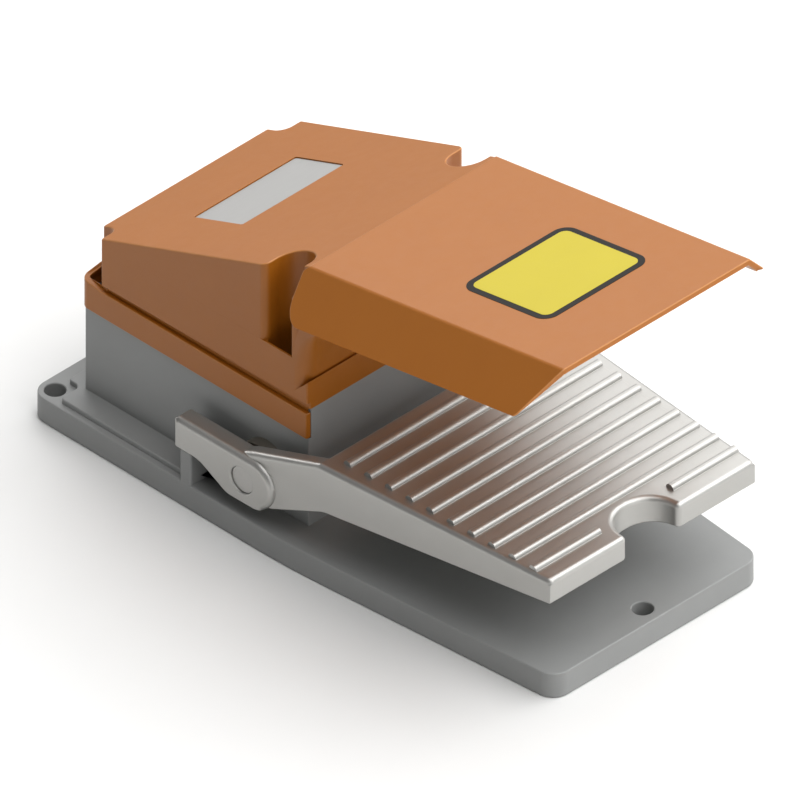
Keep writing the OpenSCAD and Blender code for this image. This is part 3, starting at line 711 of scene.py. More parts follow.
ORANGE = Finish("orange_moulding", (160, 94, 18), (154, 89, 15), (206, 150, 98), 0.4, (0.38, 0.48),
                2600.0, 0.00003, specular=0.43)
GREY = Finish("grey_casting", (141, 142, 141), (133, 134, 133), (174, 175, 174), 0.05, (0.5, 0.62),
              1700.0, 0.00005)
SATIN = Finish("satin_aluminium", (180, 179, 176), (173, 172, 168), (216, 215, 212), 0.15, (0.36, 0.44),
               3000.0, 0.00002, metal=0.85)
RUBBER = Finish("black_rubber", (28, 28, 29), (34, 34, 34), (52, 52, 52), 0.2, (0.6, 0.75))
POLYAMIDE = Finish("black_polyamide", (30, 31, 33), (38, 39, 41), (70, 70, 72), 0.2, (0.38, 0.5), 2200.0)
PHENOLIC = Finish("brown_phenolic", (92, 52, 36), (80, 44, 30), (120, 76, 56), 0.2, (0.35, 0.5))
RED = Finish("red_moulding", (176, 30, 24), (160, 26, 20), (210, 70, 60), 0.2, (0.25, 0.35))
YELLOW = Finish("yellow_film", (186, 170, 26), (180, 164, 23), (240, 232, 120), 0.1, (0.4, 0.46),
                2600.0, 0.00001, specular=0.3)
BLACK_FILM = Finish("black_film", (36, 33, 30), (32, 29, 27), (50, 46, 42), 0.1, (0.45, 0.5),
                    2600.0, 0.00001, specular=0.12)
PAPER = Finish("pale_floor", (231, 231, 230), (229, 229, 228), (231, 231, 230), 0.0, (0.55, 0.6),
               900.0, 0.00001, specular=0.2)
STEEL = BrushedFinish("zinc_steel", (196, 198, 200), (160, 162, 165))
SHAFT_STEEL = BrushedFinish("ground_steel", (190, 189, 186), (165, 164, 161), roughness=(0.3, 0.42))
PLATE = BrushedFinish("brushed_plate", (172, 171, 169), (158, 157, 155), (1.0, 30.0, 30.0), (0.42, 0.52),
                      0.3)
BRASS = BrushedFinish("plain_brass", (206, 168, 92), (176, 138, 70))
BRONZE = BrushedFinish("sintered_bronze", (150, 145, 135), (132, 127, 118), roughness=(0.4, 0.55))


def on_both_sides(slabs: Sequence[Slab]) -> list[Shell]:
    """Each slab's shell, followed by its image in the middle plane."""
    return [shell for slab in slabs for shell in slab.shell().both_sides()]


@dataclass
class CastBase:
    """The base plate, shelf, stop posts and open-topped housing, as one grey casting."""

    width: float = 118.0
    front_width: float = 98.0
    length: float = 240.0
    taper: float = 118.0
    corner: float = 7.0
    bend_round: float = 300.0
    thickness: float = 10.0
    rear_hole: Pair = (52.6, 113.9)  # x and y
    front_hole: float = -112.8  # y
    hole_radius: float = 3.75
    shelf_top: float = 12.0
    shelf_x: Triple = (40.8, 56.5, 47.0)  # front corner, side, notch
    shelf_front: Pair = (35.75, 46.75)  # front edge, start of the side
    shelf_rear: Pair = (107.5, 113.3)  # notch, rear edge
    shelf_rounds: tuple[float, ...] = (3.0, 3.0, 1.5, 2.5, 1.5)  # from the front corner on
    box_x: float = 46.8
    box_front: float = -0.8
    box_rear: float = 105.8
    box_rounds: Pair = (0.4, 1.0)  # front and rear corner
    wall: float = 3.7
    lap: float = 1.3
    lap_round: float = 0.1
    lap_z: float = 46.3
    seat_z: float = 58.3
    seat_step: Triple = (36.5, 94.9, 1.5)  # x, y and radius of the stepped corner
    cup_z: float = 50.0
    floor_z: float = 6.0
    floor_edge: float = 0.4
    pivot: Pair = (18.75, 25.3)  # y and z
    pivot_boss: Pair = (11.0, 35.8)  # radius, inner end
    screw_boss: Triple = (38.6, 14.3, 6.0)  # x, y, radius
    screw_boss_z: Pair = (36.3, 58.25)  # foot, top just under the seat
    earth_post: Triple = (-28.0, 76.75, 5.0)  # x, y, radius
    earth_top: float = 12.0
    stop_x: Pair = (50.4, 58.95)
    stop_y: Pair = (43.15, 48.35)
    stop_top: float = 23.5
    stop_round: float = 0.8
    stop_edge: float = 0.6
    boss_edge: float = 0.3
    edge: float = 0.5

    def plan(self) -> Outline:
        """The base plate, tapering towards its front with a long soft bend.

        Returns:
            The outline.
        """
        half, front = self.width / 2, -self.length / 2
        return rounded(mirrored([
            (self.front_width / 2, front, self.corner),
            (half, front + self.taper, self.bend_round),
            (half, self.length / 2, self.corner)]), step_deg=3.0)

    def shelf(self) -> Outline:
        """The raised shelf round the housing, notched at the rear holes.

        Returns:
            The outline.
        """
        front_x, out, notch = self.shelf_x
        (front, side), (rear, tail) = self.shelf_front, self.shelf_rear
        spots = ((front_x, front), (out, side), (out, rear), (notch, rear), (notch, tail))
        return rounded(mirrored([(*spot, radius) for spot, radius in zip(spots, self.shelf_rounds)]))

    def box(self, inset: float, corner: float) -> Outline:
        """The housing's walls, drawn in at the sides and the rear.

        Args:
            inset: distance inside the walls' outer face.
            corner: radius of the front corners.

        Returns:
            The outline.
        """
        x = self.box_x - inset
        return rounded(mirrored([
            (x, self.box_front, corner), (x, self.box_rear - inset, self.box_rounds[1])]))

    def seat(self, inset: float) -> Outline:
        """The housing's seat, stepped in at the rear corners.

        Args:
            inset: distance inside the seat's edge.

        Returns:
            The outline.
        """
        x, rear, step_x, step_y = (place - inset for place in (
            self.box_x - self.lap, self.box_rear - self.lap, *self.seat_step[:2]))
        corner = self.box_rounds[1]
        return rounded(mirrored([
            (x, self.box_front + inset, self.lap_round), (x, step_y, corner),
            (step_x, step_y, self.seat_step[2]), (step_x, rear, corner)]))

    def shells(self) -> list[Shell]:
        """All surfaces of the casting, from the plate upwards, then what stands on both sides.

        Returns:
            Closed shells that run into each other.
        """
        cavity = self.seat(self.wall)
        (x, y), mouth = self.rear_hole, [Hole(cavity)]
        bolts = [Hole(circle(*place, self.hole_radius), edge=self.edge)
                 for place in ((-x, y), (x, y), (0.0, self.front_hole))]
        middle = [
            Slab(self.plan(), 0.0, self.thickness, self.edge, self.edge,
                 bolts + [Hole(cavity, self.floor_z, edge=self.floor_edge)]),
            Slab(self.shelf(), self.thickness - SINK, self.shelf_top, self.edge, holes=mouth),
            Slab(self.box(0.0, self.box_rounds[0]), self.thickness - SINK, self.lap_z, holes=mouth),
            Slab(self.box(self.lap, self.lap_round), self.lap_z, self.cup_z, holes=mouth),
            Slab(self.seat(0.0), self.cup_z, self.seat_z, holes=mouth)]
        stop = rectangle(*zip(self.stop_x, self.stop_y), self.stop_round)
        boss_radius, boss_x = self.pivot_boss
        sides = [
            Slab(stop, self.thickness - SINK, self.stop_top, self.stop_edge),
            Slab(circle(*self.screw_boss), *self.screw_boss_z, self.boss_edge, self.boss_edge),
            Slab(circle(*self.pivot, boss_radius), boss_x, self.box_x - SINK, self.boss_edge, self.boss_edge,
                 axis=Axis.X)]
        earth = Slab(circle(*self.earth_post), self.floor_z - SINK, self.earth_top, self.boss_edge, self.edge)
        return [slab.shell() for slab in middle] + on_both_sides(sides) + [earth.shell()]

    def dress(self) -> None:
        """Builds the casting in place of its node."""
        piece = make_object("grey_base_casting", self.shells(), GREY.material())
        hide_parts("base_housing")
        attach(piece, Body.HOUSING.value)


@dataclass
class GuardedCover:
    """The orange cover with its rim, screw channels and corner cups, and the foot guard."""

    half: float = 47.4
    front: float = 0.0
    rear: float = 104.8
    seat_z: float = 58.3
    groove_z: float = 59.7
    groove: float = 1.5
    groove_rise: float = 1.3
    neck_z: float = 70.0
    sill_z: float = 77.0
    sill_end: float = 98.0
    sill_fall: float = 0.6
    rear_top: float = 76.0
    bend: Pair = (0.5, 116.2)  # y and z
    wall: float = 3.0
    corner: float = 5.8
    corner_end: float = 6.2  # y where the front corner has run out
    mould_round: float = 0.8
    top_edge: float = 0.6
    cup: Pair = (39.0, 97.4)  # x and y of the inner corner
    cup_round: float = 4.2
    cup_z: Pair = (50.0, 52.5)  # underside and top of the floor
    cup_wall: float = 2.2
    cup_hole: Pair = (2.2, 0.2)  # radius, fillet
    cup_rounds: Triple = (0.4, 1.0, 0.3)  # inner corners, outer corner, ends of the walls
    cup_inner_round: float = 1.6
    rim_in: Pair = (45.8, 104.8)  # x and y of the inner faces
    rim_wall: float = 2.0
    rim_round: float = 3.4
    rim_inner_round: float = 1.4
    rim_return: float = 7.4
    rim_edge: float = 0.4
    rim: Pair = (46.6, 57.1)  # low and high edge
    rim_rise: Pair = (1.2, 1.5)  # along the rear, and more away from the corners
    rim_rise_width: float = 8.0
    bridge: Pair = (0.15, 0.9)  # thickness and corner of the joint from rim to seat
    foot_front: float = -0.8
    channel: Triple = (41.7, 11.6, 7.6)  # x, y, radius
    channel_round: float = 0.98  # share of the radius that is round
    channel_lip: float = 2.7
    well_wall: float = 0.7
    well_floor: float = 62.3
    post_top: float = 114.0
    post_fall: float = 1.87
    post_depth: float = 6.8
    post_bevel: Pair = (2.2, 2.6)  # in x and y
    post_inset: float = 0.05
    post_round: float = 0.5
    post_inner_rounds: Pair = (0.2, 0.6)  # at the guard, at the bevel
    ledge_fall: float = 7.0
    label: Triple = (65.0, 48.0, 24.4)  # y, width, length
    label_sink: float = 0.45
    label_thick: float = 0.35
    label_bed: float = 0.4
    label_play: float = 0.15
    label_mouth: float = 0.05
    label_edge: float = 0.1
    hollow_half: float = 28.0
    hollow_front: float = 6.0
    hollow_rear: float = 92.4
    hollow_round: float = 2.0
    guard_pitch: float = 9.5
    guard_half: float = 44.2
    guard_front: float = -119.6
    guard_wall: float = 2.2
    guard_edge: float = 0.5
    guard_tail: Triple = (1.0, 2.0, 1.5)  # past the bend, more on the skirts, over this width
    folds: Pair = (2.0, 1.0)  # outer and inner radius
    skirt: Pair = (15.2, 14.6)  # outwards and down
    skirt_cut: Pair = (2.2, 11.0)  # slant of the rear and front edge
    skirt_round: Pair = (6.6, 1.2)  # rear and front corner
    neck_round: float = 5.5
    neck_fade: float = 0.44  # angle where its rounds end
    film_y: float = -73.0
    film_border: Triple = (50.0, 42.0, 5.5)  # width, length, corner radius
    film_panel: Triple = (45.0, 37.0, 3.0)
    film_lift: Pair = (0.12, 0.2)  # border and panel
    film_sink: float = 0.5
    film_edge: float = 0.04

    def ramp_slope(self) -> float:
        """Fall of the cover's top towards the rear."""
        return (self.bend[1] - self.rear_top) / (self.rear - self.bend[0])

    def ramp(self, depth: float) -> Callable[[Array], Array]:
        """A rule for the height of the cover's top less a depth."""
        return lambda plan: self.bend[1] - (plan[:, 1] - self.bend[0]) * self.ramp_slope() - depth

    def sill(self, plan: Array) -> Array:
        """Height of the joint below the channels: their sill, falling under the low end of the ramp."""
        return np.minimum(self.sill_z, self.sill_z - (plan[:, 1] - self.sill_end) * self.sill_fall)

    def neck_joint(self, plan: Array) -> Array:
        """Height of the ledge over the foot, falling behind its front edge."""
        share = (plan[:, 1] - self.foot_front) / (self.corner - self.foot_front)
        return self.neck_z - self.ledge_fall * np.clip(share, 0, 1)

    def groove_top(self, plan: Array) -> Array:
        """Height of the upper side of the groove over the rim, opening towards the front."""
        return self.groove_z + self.groove_rise * np.clip(1 - plan[:, 1] / self.cup[1], 0, 1)

    def rim_top(self, plan: Array) -> Array:
        """Height of the rim, higher along the rear than at the sides.

        Args:
            plan: plan points.

        Returns:
            One height for each point.
        """
        behind = np.clip((plan[:, 1] - self.cup[1]) / (self.rear - self.cup[1]), 0, 1)
        inwards = np.clip((self.half - np.abs(plan[:, 0])) / self.rim_rise_width, 0, 1)
        return self.rim[1] + behind * (self.rim_rise[0] + self.rim_rise[1] * inwards)

    def plan(self, inset: float, front: float, corner: float) -> Outline:
        """The cover's plan below its channels, with a round bite at each rear corner.

        Args:
            inset: distance inside the cover's sides and rear.
            front: place of the front wall.
            corner: radius of the front corners.

        Returns:
            The outline.
        """
        x, rear, bite_x, bite_y = (place - inset for place in (self.half, self.rear, *self.cup))
        return rounded(mirrored([
            (x, front, corner), (x + CLEAR, self.corner_end, self.post_round), (x, bite_y, self.mould_round),
            (bite_x, bite_y, self.cup_round + inset), (bite_x, rear, self.mould_round)]), step_deg=7.5)

    def channel_plan(self) -> Outline:
        """The cover's plan above the sill: the screw channels open to the sides.

        Returns:
            The outline.
        """
        x, (bite_x, bite_y) = self.half, self.cup
        middle, y, radius = self.channel
        inner, round_off = middle - radius, radius * self.channel_round
        post_x = self.guard_half - self.post_inset
        return rounded(mirrored([
            (post_x, self.front, self.post_round), (post_x, y - radius, self.post_round),
            (inner, y - radius, round_off), (inner, y + radius, round_off),
            (x, y + radius, self.channel_lip), (x, bite_y, self.mould_round),
            (bite_x, bite_y, self.cup_round), (bite_x, self.rear, self.mould_round)]), step_deg=7.5)

    def well(self, side: int) -> Outline:
        """A channel's well below the sill on one side, flush with the channel's round wall.

        Args:
            side: 1 for +X, -1 for -X.

        Returns:
            The outline.
        """
        middle, y, radius = self.channel
        reach = radius - CLEAR
        inner, outer, turn = side * (middle - reach), side * (self.half - self.well_wall), side * reach
        round_off = reach * self.channel_round
        return rounded([(inner, y - turn, round_off), (outer, y - turn, self.mould_round),
                        (outer, y + turn, self.mould_round), (inner, y + turn, round_off)])

    def hollow(self, floor: Height | None = None) -> Hole:
        """The space inside the cover, open below.

        Args:
            floor: height of its roof, or None where it runs right through.

        Returns:
            The hole.
        """
        x, corner = self.hollow_half, self.hollow_round
        outline = rounded(mirrored([(x, self.hollow_front, corner), (x, self.hollow_rear, corner)]))
        return Hole(outline, floor, from_top=False)

    def body(self) -> list[Shell]:
        """The cover's walls and ramp, from the seat over the foot and the sill to the top.

        Returns:
            One shell for each storey.
        """
        wells = [self.well(side) for side in (-1, 1)]
        bed = Hole(self.label_plan(self.label_play), self.ramp(self.label_sink + self.label_bed),
                   edge=self.label_mouth)
        slabs = [
            Slab(self.plan(self.groove, self.foot_front, self.mould_round), self.seat_z, self.groove_top,
                 holes=[self.hollow()]),
            Slab(self.plan(0.0, self.foot_front, self.mould_round), self.groove_top, self.neck_joint,
                 holes=[self.hollow()] + [Hole(well, self.well_floor) for well in wells]),
            Slab(self.plan(0.0, self.front, self.corner), self.neck_joint, self.sill,
                 holes=[self.hollow()] + [Hole(well) for well in wells]),
            Slab(self.channel_plan(), self.sill, self.ramp(0.0), self.top_edge,
                 holes=[self.hollow(self.ramp(self.wall)), bed], slope=(0.0, self.ramp_slope()))]
        return [slab.shell() for slab in slabs]

    def label_plan(self, play: float) -> Outline:
        """The label plate on the ramp as seen from above, grown by a play.

        Args:
            play: room all round.

        Returns:
            The outline.
        """
        y, width, length = self.label
        x = width / 2 + play
        reach = length / 2 / math.hypot(1.0, self.ramp_slope()) + play
        return rectangle((-x, y - reach), (x, y + reach), self.mould_round)

    def plate(self) -> Shell:
        """The bare label plate, sunk in the ramp.

        Returns:
            The plate.
        """
        low, high = self.ramp(self.label_sink + self.label_thick), self.ramp(self.label_sink)
        return Slab(self.label_plan(0.0), low, high, self.label_edge, slope=(0.0, self.ramp_slope()),
                    steps=2).shell()

    def posts(self) -> list[Shell]:
        """The posts in front of the channels, sloping down towards the rear behind the skirts.

        Returns:
            Both posts.
        """
        rear, (bevel_x, bevel_y) = self.front + self.post_depth, self.post_bevel
        inner = self.guard_half - self.guard_wall - SINK
        tight, soft = self.post_inner_rounds
        outline = rounded([
            (inner, self.front, tight), (self.half, self.front, self.corner),
            (self.half, rear, self.post_round), (self.half - bevel_x, rear, soft),
            (inner, rear - bevel_y, tight)])
        return on_both_sides([Slab(
            outline, self.sill_z, lambda plan: self.post_top - (plan[:, 1] - self.front) * self.post_fall,
            slope=(0.0, self.post_fall))])

    def rim_shells(self) -> list[Shell]:
        """The rim, a U in plan that laps the housing's sides and rear, and the corner cups.

        Returns:
            The rim and its joint to the seat, then the cups of both sides.
        """
        x, y = self.rim_in
        cup_x, cup_y = self.cup
        low_x, low_y = cup_x - self.cup_wall, cup_y - self.cup_wall
        laps = [Slab(self._lap(self.rim_wall, self.rim_round, self.foot_front), self.rim[0], self.rim_top,
                     self.rim_edge, self.rim_edge),
                Slab(self._lap(*self.bridge, self.foot_front + SINK), self.rim[1] - SINK, self.seat_z)]
        far_x, far_y = x + SINK, y + SINK
        inner, outer, end = self.cup_rounds
        floor = rounded([(low_x, low_y, inner), (far_x, low_y, inner), (far_x, far_y, outer),
                         (low_x, far_y, inner)])
        far_x, far_y = x + SINK / 2, y + SINK / 2
        bracket = rounded([
            (low_x, low_y, inner), (far_x, low_y, end), (far_x, cup_y, end),
            (cup_x, cup_y, self.cup_inner_round), (cup_x, far_y, end), (low_x, far_y, end)])
        screw = Hole(circle((cup_x + x) / 2, (cup_y + y) / 2, self.cup_hole[0]), edge=self.cup_hole[1])
        cups = [Slab(floor, *self.cup_z, holes=[screw]), Slab(bracket, self.cup_z[0], self.seat_z)]
        return [lap.shell() for lap in laps] + on_both_sides(cups)

    def _lap(self, wall: float, corner: float, front: float) -> Outline:
        """A U round the housing's lap, open at the front.

        Args:
            wall: its thickness outside the rim's inner face.
            corner: radius of its outer corners.
            front: place of its two ends.

        Returns:
            The outline, with a slight bend where the rim's height changes.
        """
        x, y = self.rim_in
        out, turn = x + wall, x - self.rim_return
        bow, bow_round, outer_tip, inner_tip = 0.01, 1.0, 0.3 * wall, 0.05
        outer = [(out, front, outer_tip), (out + bow, self.cup[1], bow_round), (out, y + wall, corner),
                 (turn, y + wall + bow, bow_round)]
        inner = [(turn, y - bow, bow_round), (x, y, self.rim_inner_round),
                 (x - bow, self.cup[1], bow_round), (x, front, inner_tip)]
        return rounded(mirrored(outer) + [(-a, b, r) for a, b, r in reversed(inner)] + inner)

    def section(self) -> tuple[Array, Array]:
        """The guard's section in X and Z from its top: a closed line with outward normals.

        The outer line runs from the +X skirt's edge over both folds to the -X edge, the inner line
        back, with matching points. Points lie closer together towards the skirts' edges.

        Returns:
            Points and normals.
        """
        out, drop = self.skirt
        fall = math.atan2(drop, out)
        wall, half = self.guard_wall, self.guard_half
        outer = self._fold_line((half + out, -drop), (half, 0.0), self.folds[0])
        inner = self._fold_line((half + out - wall / math.sin(fall), -drop),
                                (half - wall * math.tan(fall / 2), -wall), self.folds[1])
        return (np.concatenate([outer[0], inner[0][::-1]]), np.concatenate([outer[1], -inner[1][::-1]]))

    @staticmethod
    def _fold_line(edge: Pair, fold: Pair, radius: float) -> tuple[Array, Array]:
        """A line from one skirt's edge over both folds to the other edge, with outward normals.

        Args:
            edge: the skirt's edge on the +X side.
            fold: the sharp corner of the fold on that side.
            radius: radius of the folds.

        Returns:
            Points and normals from +X to -X.
        """
        fold_points, skirt_points = 9, 30
        fall = math.atan2(fold[1] - edge[1], edge[0] - fold[0])
        centre = np.array([fold[0] - radius * math.tan(fall / 2), fold[1] - radius])
        radial = rays(np.linspace(QUARTER - fall, QUARTER, fold_points))
        bow = centre + radius * radial
        share = np.cos(np.linspace(0, QUARTER, skirt_points))[:-1, None]
        skirt = np.array(edge) * share + bow[0] * (1 - share)
        points = np.concatenate([skirt, bow])
        normals = np.concatenate([np.tile(radial[0], (len(skirt), 1)), radial])
        flip = np.array([-1.0, 1.0])
        return (np.concatenate([points, (points * flip)[::-1]]),
                np.concatenate([normals, (normals * flip)[::-1]]))

    def skirt_ends(self, across: Array) -> tuple[Array, Array]:
        """Places of the guard's rear and front edges along its slope.

        Args:
            across: distances of section points from the middle plane.

        Returns:
            The rear edge, square to the fold and rounded at the skirt's corner, and the slanted
            front edge with a small round.
        """
        (out, _), (rear_cut, front_cut) = self.skirt, self.skirt_cut
        length = (self.bend[0] - self.guard_front) / math.cos(math.radians(self.guard_pitch))
        beyond = np.clip(across - self.guard_half, 0, out)
        rear_in, front_in = (
            radius - np.sqrt(np.maximum(radius ** 2 - np.clip(beyond - (out - radius), 0, radius) ** 2, 0))
            for radius in self.skirt_round)
        tail, step, width = self.guard_tail
        rear = tail + step * np.clip(beyond / width, 0, 1) - rear_cut * beyond / out - rear_in
        return rear, front_cut * beyond / out - length + front_in

    def guard(self) -> Shell:
        """The guard: a folded section carried along its pitch, with rounded ends.

        At its ends, a row at angle a is drawn in by the edge times 1 - cos a and lies the edge times
        1 - sin a from the end.

        Returns:
            The closed guard, on its slope.
        """
        section, normal = self.section()
        rear, front = (np.concatenate([end, end[::-1]])
                       for end in self.skirt_ends(np.abs(section[:len(section) // 2, 0])))
        side = np.column_stack([normal[:, 0], np.zeros(len(normal)), normal[:, 1]])
        turn = np.linspace(0, QUARTER, 4)
        rows, normals, sheen_and_wear = [], [], []
        for place, toward, angles in ((rear, 1.0, turn[::-1]), (front, -1.0, turn)):
            for angle in angles:
                flat = section - normal * self.guard_edge * (1 - math.cos(angle))
                along = place - toward * self.guard_edge * (1 - math.sin(angle))
                rows.append(np.column_stack([flat[:, 0], along, flat[:, 1]]))
                normals.append(unit(side * math.cos(angle) + np.array([0, toward, 0]) * math.sin(angle)))
                # edge mask: painted highlight along the end rounds, also standing for rubbed paint
                sheen_and_wear.append(math.sin(2 * angle))
        count = len(section)
        shells = [band(np.stack(rows), np.stack(normals), np.array(sheen_and_wear))]
        i = np.arange(count // 2 - 1)
        strip = np.stack([i, i + 1, count - 2 - i, count - 1 - i], axis=1)
        for row, quads in ((0, strip[:, ::-1]), (-1, strip)):
            shells.append(Shell(rows[row], normals[row], np.zeros(count), as_faces(quads)))
        return joined(shells).turned(self.guard_frame())

    def guard_frame(self) -> Matrix:
        """Places things drawn on the level at the bend on the guard's slope."""
        turn = Matrix.Rotation(math.radians(-self.guard_pitch), 4, "X")
        return Matrix.Translation((0, *self.bend)) @ turn

    def neck(self) -> Shell:
        """The sweep from the front wall to the guard's underside, with rounded sides.

        Its arc touches both. Across it, each row runs down one side face, round the edge, straight
        over and round the other edge; the rounds shrink where the arc nears the guard.

        Returns:
            The closed sweep.
        """
        arc_points, edge_points = 40, 7
        least_edge, least_reach, lip, cover = 0.02, 0.03, 0.8, 1.8
        pitch = math.radians(self.guard_pitch)
        under = self.guard_wall / math.cos(pitch)
        rise = self.bend[1] - under + (self.bend[0] - self.front) * math.tan(pitch) - self.neck_z
        radius = rise / (1 / math.cos(pitch) - math.tan(pitch))
        angle = np.linspace(0, QUARTER - pitch, arc_points)
        normal = -rays(angle)
        arc = np.array([self.front - radius, self.neck_z]) - radius * normal
        depth = self.bend[1] + (self.bend[0] - arc[:, 0]) * math.tan(pitch) - arc[:, 1]
        room = depth - under
        fade = 1 - (angle / self.neck_fade) ** 3
        edge = np.clip(self.neck_round * fade, least_edge, np.maximum(room - lip, least_edge))
        half = np.minimum(self.half - CLEAR, self.guard_half + depth * self.skirt[0] / self.skirt[1] - lip)
        turn = np.linspace(QUARTER, 0, edge_points)
        into, drawn, lean = (np.concatenate([[first], line]) for first, line in (
            (1.0, 1 - np.cos(turn)), (0.0, 1 - np.sin(turn)), (1.0, np.sin(turn))))
        back = edge[:, None] * into
        back[:, 0] = np.maximum(np.clip(room - cover, least_reach, self.post_depth), edge)
        back = np.concatenate([back, back[:, ::-1]], axis=1)
        x = half[:, None] - edge[:, None] * drawn
        x = np.concatenate([-x, x[:, ::-1]], axis=1)
        lean = np.concatenate([-lean, lean[::-1]])
        face = np.sqrt(1 - lean ** 2)
        rows = np.stack([x, *(arc[:, None, i] - normal[:, None, i] * back for i in (0, 1))], axis=2)
        normals = np.stack([np.tile(lean, (len(arc), 1)),
                            *(normal[:, None, i] * face for i in (0, 1))], axis=2)
        return joined([band(rows, normals, np.zeros(len(arc))), *ends(rows, normals[0], normals[-1])])

    def film(self, size: Triple, lift: float) -> Shell:
        """A thin plain film on the guard's top, of a width, length and corner radius.

        Args:
            size: width, length and corner radius.
            lift: height over the guard's top.

        Returns:
            The film.
        """
        width, length, corner = size
        high = (width / 2, length / 2)
        outline = rectangle((-high[0], -high[1]), high, corner)
        film = Slab(outline, -self.film_sink, lift, self.film_edge, steps=2).shell()
        return film.turned(self.guard_frame() @ Matrix.Translation((0, self.film_y, 0)))

    def dress(self) -> None:
        """Builds the cover in place of its node, and the plain film on the guard."""
        shells = self.body() + self.posts() + self.rim_shells() + [self.guard(), self.neck()]
        piece = make_object("orange_cover", shells, ORANGE.material())
        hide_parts("cover")
        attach(piece, Body.HOUSING.value)
        label = make_object("bare_label", [self.plate()], PLATE.material())
        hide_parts("label_plate")
        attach(label, Body.HOUSING.value)
        for name, size, lift, finish in (("film_border", self.film_border, self.film_lift[0], BLACK_FILM),
                                         ("film_panel", self.film_panel, self.film_lift[1], YELLOW)):
            film = make_object(name, [self.film(size, lift)], finish.material())
            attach(film, Body.HOUSING.value)


